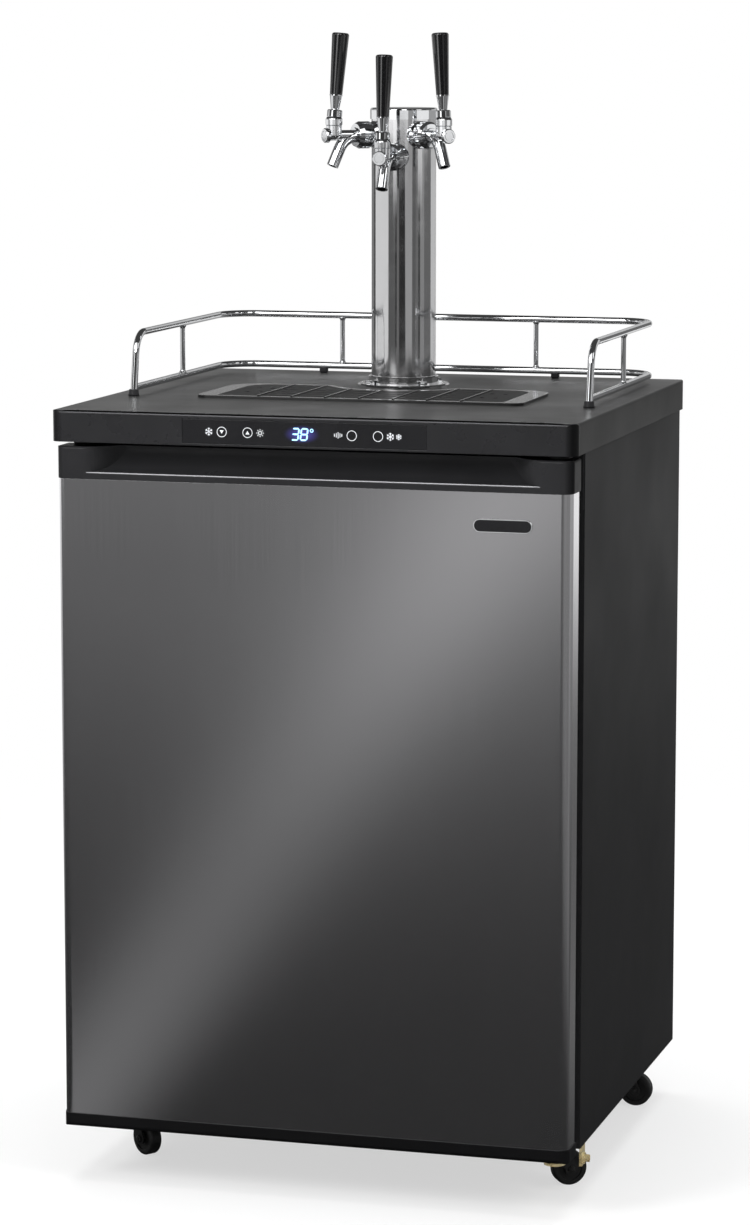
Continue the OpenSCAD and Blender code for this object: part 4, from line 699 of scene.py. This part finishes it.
# Radius and height of a round head with a socket in it, in millimetres
SCREW = ((4.0, 0.0), (4.0, 0.5), (3.7, 1.2), (3.0, 1.8), (2.0, 2.1), (1.7, 2.1), (1.6, 1.9), (1.6, 0.9))
SCREW_STEPS = 24
BACK_SCREW_INSET, BACK_SCREW_DROP, BACK_SCREW_ROWS = 12 * MM, 560 * MM, 4
TOP_SCREW_X = 95 * MM
HINGE_SCREW_INSET, HINGE_FLANGE_T = 8 * MM, 3 * MM
HINGE_SCREW_DROPS = (22 * MM, 46 * MM)


def add_screw(name, at, axis, slot):
    """Round-headed screw standing on a face of the cabinet."""
    profile = [(r * MM, h * MM) for r, h in SCREW]
    add_piece(name, lathe(name, profile, at, axis, SCREW_STEPS), FINISHES[slot], "cabinet")


def add_back_screws():
    """Screws down both sides of the back panel and along its top."""
    low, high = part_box("back_panel")
    top_z, base_z = high.z - BACK_SCREW_INSET, high.z - BACK_SCREW_DROP
    pitch = (top_z - base_z) / (BACK_SCREW_ROWS - 1)
    spots = [(x, base_z + row * pitch)
             for x in (low.x + BACK_SCREW_INSET, high.x - BACK_SCREW_INSET)
             for row in range(BACK_SCREW_ROWS)]
    spots += [(x, top_z) for x in (-TOP_SCREW_X, TOP_SCREW_X)]
    for k, (x, z) in enumerate(spots):
        add_screw(f"back_screw_{k}", (x, high.y, z), (0, 1, 0), "zinc_plate")


def add_hinge_screws():
    """Two screws in the upper hinge's flange."""
    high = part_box("upper_hinge")[1]
    for k, drop in enumerate(HINGE_SCREW_DROPS):
        at = (high.x - HINGE_SCREW_INSET, high.y - HINGE_FLANGE_T, high.z - drop)
        add_screw(f"hinge_screw_{k}", at, (0, -1, 0), "caster_steel")


# Radius and height of a nut with the axle's end standing out of it, in millimetres
NUT = ((3.1, 0.0), (4.4, 0.0), (4.4, 1.9), (3.9, 2.5), (3.0, 2.5), (2.8, 2.3), (2.8, 3.4), (2.3, 3.9))
NUT_SIDES = 6
FORK_HALF = 11.2 * MM


def add_axle_nuts():
    """A hexagon nut on each end of each caster's axle."""
    joints = {joint["name"]: joint for joint in frame["record"]["behaviour"]["joints"]}
    profile = [(r * MM, h * MM) for r, h in NUT]
    for corner in ("front_left", "front_right", "rear_left", "rear_right"):
        roll = joints[f"caster_{corner}_roll"]
        axle, middle = Vector(roll["axis"]), Vector(roll["pos_m"])
        for end, way in (("inner", -1), ("outer", 1)):
            name = f"axle_nut_{corner}_{end}"
            mesh = lathe(name, profile, middle + way * FORK_HALF * axle, way * axle, NUT_SIDES)
            for face in mesh.polygons:
                face.use_smooth = False
            add_piece(name, mesh, FINISHES["caster_steel"], f"caster_fork_{corner}")


def only_reflected(card):
    """A studio card that shows in reflections alone."""
    card.visible_camera = False
    card.visible_diffuse = False
    card.visible_shadow = False
    card.visible_transmission = False
    card.visible_volume_scatter = False


def stage_mesh(name, points, faces, finish):
    mesh = bpy.data.meshes.new(name)
    mesh.from_pydata(points, [], faces)
    mesh.materials.append(finish)
    made = bpy.data.objects.new(name, mesh)
    bpy.context.collection.objects.link(made)
    return made


def level_sheet(name, half, z, finish):
    """Square sheet lying level round the object."""
    points = [(-half, -half, z), (half, -half, z), (half, half, z), (-half, half, z)]
    return stage_mesh(name, points, [(0, 1, 2, 3)], finish)


FLOOR_HALF = 60
PAPER_NEAR, PAPER_FAR = 0.5, 2.6
PAPER_GLOW = 0.6
WHITE = (1, 1, 1, 1)


def make_floor():
    """Pale paper that the camera and the metal see as white, still darkened by the object's shadow."""
    made = Finish("floor_paper", (0.86, 0.86, 0.86), roughness=0.9)
    made.tint(made.noise(scale=1.5), low=0.99, high=1.01)
    path = made.node("ShaderNodeLightPath").outputs
    seen = made.calc("MAXIMUM", path["Is Camera Ray"], path["Is Glossy Ray"])
    paper = made.ramp(made.away(), PAPER_NEAR, PAPER_FAR, PAPER_GLOW, 1.0, "SMOOTHSTEP")
    share = made.calc("MULTIPLY", seen, paper)
    glow = made.node("ShaderNodeEmission", {"Color": WHITE, "Strength": 1.0})
    mix = made.node("ShaderNodeMixShader", {0: share, 1: made.shader.outputs[0], 2: glow.outputs[0]})
    made.show(mix.outputs[0])
    level_sheet("floor", FLOOR_HALF, 0, made.mat)


def glow_finish(name, level_of):
    """Emitting card; level_of gives its brightness, a number or a texture of the finish it is handed."""
    made = Finish(name, (0, 0, 0), roughness=1.0)
    glow = made.node("ShaderNodeEmission", {"Color": WHITE, "Strength": level_of(made)})
    made.show(glow.outputs[0])
    return made.mat


MAT_Z = 0.5 * MM
MAT_HALF = 20
# The mat brightens away from the object, less so in front and to the right of it
MAT_REACH, MAT_LEVELS = (0.4, 9.0), (0.15, 1.0)
FRONT_SPAN, FRONT_SHARE = (-0.4, 0.8), 0.16
SIDE_SPAN_X, SIDE_SPAN_Y, SIDE_SHARE = (0.2, 1.0), (-0.2, 0.8), 0.45
# A soft strip of light runs forwards from the object
STRIP_SLANT, STRIP_SHIFT = -0.162, 0.30
STRIP_NARROWING, STRIP_WIDTH, STRIP_SOFTNESS = -0.241, 0.935, 0.138
STRIP_SPAN, STRIP_LEVELS, STRIP_END = (-7.5, -1.5), (0.72, 0.145), (-0.45, -0.3)
# A lane of light leads backwards, and a faint glow lies in front on the right
LANE_SLOPE, LANE_EDGE = 0.29, (0.6, 1.0)
LANE_SPAN, LANE_LEVELS = (2.6, 6.2), (0.0, 0.62)
GLOW_SPAN_X, GLOW_SPAN_Y, RIGHT_GLOW = (0.7, 2.0), (-0.2, 0.8), 0.1


def mat_level(made):
    """Dark round the object and lighter far off, with a strip of light in front and a lane behind."""
    def fade(value, span, levels):
        return made.ramp(value, *span, *levels, "SMOOTHSTEP")

    def times(a, b):
        return made.calc("MULTIPLY", a, b)

    def plus(a, b):
        return made.calc("ADD", a, b)

    x, y = made.axis("X"), made.axis("Y")
    far = times(fade(made.away(), MAT_REACH, MAT_LEVELS), fade(y, FRONT_SPAN, (FRONT_SHARE, 1.0)))
    beside = times(fade(x, SIDE_SPAN_X, (0.0, 1.0)), fade(y, SIDE_SPAN_Y, (0.0, 1.0)))
    far = times(far, fade(beside, (0.0, 1.0), (1.0, SIDE_SHARE)))

    across = plus(x, plus(times(y, STRIP_SLANT), STRIP_SHIFT))
    width = plus(times(y, STRIP_NARROWING), STRIP_WIDTH)
    offset = made.calc("ABSOLUTE", made.calc("DIVIDE", across, width))
    strip = times(fade(offset, (0.0, STRIP_SOFTNESS), (1.0, 0.0)), fade(y, STRIP_SPAN, STRIP_LEVELS))
    strip = times(strip, fade(y, STRIP_END, (1.0, 0.0)))

    aside = made.calc("ABSOLUTE", made.calc("SUBTRACT", x, times(y, LANE_SLOPE)))
    lane = times(fade(aside, LANE_EDGE, (1.0, 0.0)), fade(y, LANE_SPAN, LANE_LEVELS))
    right = times(fade(x, GLOW_SPAN_X, (0.0, RIGHT_GLOW)), fade(y, GLOW_SPAN_Y, (1.0, 0.0)))
    return plus(plus(far, right), plus(strip, lane))


CARD_Y, CARD_TOP = 4, 2.6
# Upright cards behind the object: from and to along X, lower edge and brightness
BACK_CARDS = {
    "left_card": (-7, -1.55, 1.15, 0.42),
    "back_card": (-1.55, -0.4, 1.15, 0.3),
    "pale_card": (-0.4, 0.75, 0.2, 0.54),
    "dull_card": (0.75, 4, 0.42, 0.14),
}
CEILING_HALF_X, CEILING_FRONT, CEILING_BACK, CEILING_Z = 6, -1.7, 7, 3.7
CEILING_LEVEL = 0.05
FLAG_AT = (0.0, 0.1)
FLAG_RADIUS, INNER_FLAG_RADIUS = 3.2, 3.1
FLAG_STEP = 4
FLAG_LOW, FLAG_SPLIT, FLAG_HIGH, SKY_FLAG_HIGH = 0.62, 1.1, 2.2, 4.6
TAP_FLAG_LOW, TAP_FLAG_HIGH, COLLAR_FLAG_HIGH = 0.99, 1.09, 1.24
# Flags round the object: from and to in degrees, anticlockwise from the front, and brightness
COLUMN_FLAGS = (
    (-150, -115, 0.2), (-115, -105, 0.03), (-105, -41, 0.72), (-41, -15, 0.1), (-15, -9, 0.03),
    (-9, -1, 0.15), (-1, 22, 0.028), (22, 45, 0.34), (45, 58, 0.11), (58, 68, 0.15),
    (68, 76, 0.055), (76, 93, 0.25), (93, 127, 0.14), (127, 160, 0.57))
HANDLE_FLAGS = (
    (-132, -86, 0.3), (-86, -74, 1.0), (-74, -32, 0.1), (-32, -13, 1.8),
    (-13, 46, 0.04), (46, 58, 0.4), (58, 127, 0.1), (127, 160, 0.6))
SKY_FLAGS = (
    (-100, -66, 0.12), (-66, -44, 2.0), (-44, -30, 0.06), (-30, -6, 6.0), (-6, 8, 0.04),
    (8, 26, 3.0), (26, 62, 0.06), (62, 82, 1.6), (82, 100, 0.1))
TAP_FLAGS = ((-23, -9, 0.7), (66, 84, 0.6))
COLLAR_FLAGS = (
    (-160, -132, 0.3), (-132, -70, 0.9), (-70, -40, 0.4), (-40, -6, 1.2),
    (-6, 30, 0.8), (30, 60, 0.3), (60, 110, 0.9), (110, 160, 0.35))


def add_card(name, points, level):
    """Evenly bright four-cornered card, or a strip of them, seen in reflections alone."""
    faces = [(k, k + 2, k + 3, k + 1) for k in range(0, len(points) - 2, 2)]
    only_reflected(stage_mesh(name, points, faces, glow_finish(name, lambda made: level)))


def add_flags(name, flags, low, high, radius=FLAG_RADIUS):
    """Curved cards of one height, side by side round the object."""
    for i, (start, stop, level) in enumerate(flags):
        steps = max(2, round((stop - start) / FLAG_STEP))
        angles = [math.radians(start + (stop - start) * k / steps) for k in range(steps + 1)]
        points = [(FLAG_AT[0] + radius * math.sin(a), FLAG_AT[1] - radius * math.cos(a), z)
                  for a in angles for z in (low, high)]
        add_card(f"{name}_{i}", points, level)


def make_cards():
    only_reflected(level_sheet("mat", MAT_HALF, MAT_Z, glow_finish("mat_card", mat_level)))
    for name, (left, right, low, level) in BACK_CARDS.items():
        add_card(name, [(x, CARD_Y, z) for x in (left, right) for z in (low, CARD_TOP)], level)
    ceiling = [(x, y, CEILING_Z) for x in (-CEILING_HALF_X, CEILING_HALF_X)
               for y in (CEILING_FRONT, CEILING_BACK)]
    add_card("ceiling", ceiling, CEILING_LEVEL)
    add_flags("column_flag", COLUMN_FLAGS, FLAG_LOW, FLAG_SPLIT)
    add_flags("handle_flag", HANDLE_FLAGS, FLAG_SPLIT, FLAG_HIGH)
    add_flags("sky_flag", SKY_FLAGS, FLAG_HIGH, SKY_FLAG_HIGH)
    add_flags("tap_flag", TAP_FLAGS, TAP_FLAG_LOW, TAP_FLAG_HIGH, INNER_FLAG_RADIUS)
    add_flags("collar_flag", COLLAR_FLAGS, TAP_FLAG_HIGH, COLLAR_FLAG_HIGH, INNER_FLAG_RADIUS)


AMBIENT = 0.5
# Softboxes: place, aim, width and height, and watts
SOFTBOXES = {
    "key_left": ((-2.6, -3.2, 3.4), (0, 0, 0.7), (1.6, 2.0), 150),
    "fill_right": ((3.4, -1.4, 3.0), (0, 0, 0.7), (1.2, 2.0), 60),
    "top": ((0, 0.4, 3.6), (0, 0, 0.8), (2.4, 2.4), 110),
}


def make_world():
    """White surroundings that light the object at the ambient level and show white in mirrors."""
    world = bpy.data.worlds.new("studio")
    bpy.context.scene.world = world
    world.use_nodes = True
    tree = world.node_tree
    path = tree.nodes.new("ShaderNodeLightPath")
    total = path.outputs["Is Camera Ray"]
    for ray_kind in ("Is Glossy Ray", "Is Transmission Ray"):
        joined = tree.nodes.new("ShaderNodeMath")
        joined.operation = "MAXIMUM"
        tree.links.new(total, joined.inputs[0])
        tree.links.new(path.outputs[ray_kind], joined.inputs[1])
        total = joined.outputs[0]
    level = tree.nodes.new("ShaderNodeMapRange")
    level.inputs["To Min"].default_value = AMBIENT
    level.inputs["To Max"].default_value = 1.0
    tree.links.new(total, level.inputs["Value"])
    back = tree.nodes["Background"]
    back.inputs["Color"].default_value = WHITE
    tree.links.new(level.outputs["Result"], back.inputs["Strength"])


def add_softbox(name, at, aim, size, power):
    data = bpy.data.lights.new(name, "AREA")
    data.shape = "RECTANGLE"
    data.size, data.size_y = size
    data.energy = power
    lamp = bpy.data.objects.new(name, data)
    lamp.location = at
    lamp.rotation_euler = (Vector(aim) - Vector(at)).to_track_quat("-Z", "Y").to_euler()
    lamp.visible_glossy = False
    bpy.context.collection.objects.link(lamp)


def make_lights():
    bpy.context.scene.view_settings.view_transform = "Standard"
    make_world()
    for name, (at, aim, size, power) in SOFTBOXES.items():
        add_softbox(name, at, aim, size, power)


make_camera()
dress_cad_nodes()
add_button_prints()
add_panel_prints()
add_display()
add_badge()
add_grip_lip()
add_fascia_edge()
add_weld_beads()
add_rail_feet()
add_back_screws()
add_hinge_screws()
add_axle_nuts()
make_floor()
make_cards()
make_lights()
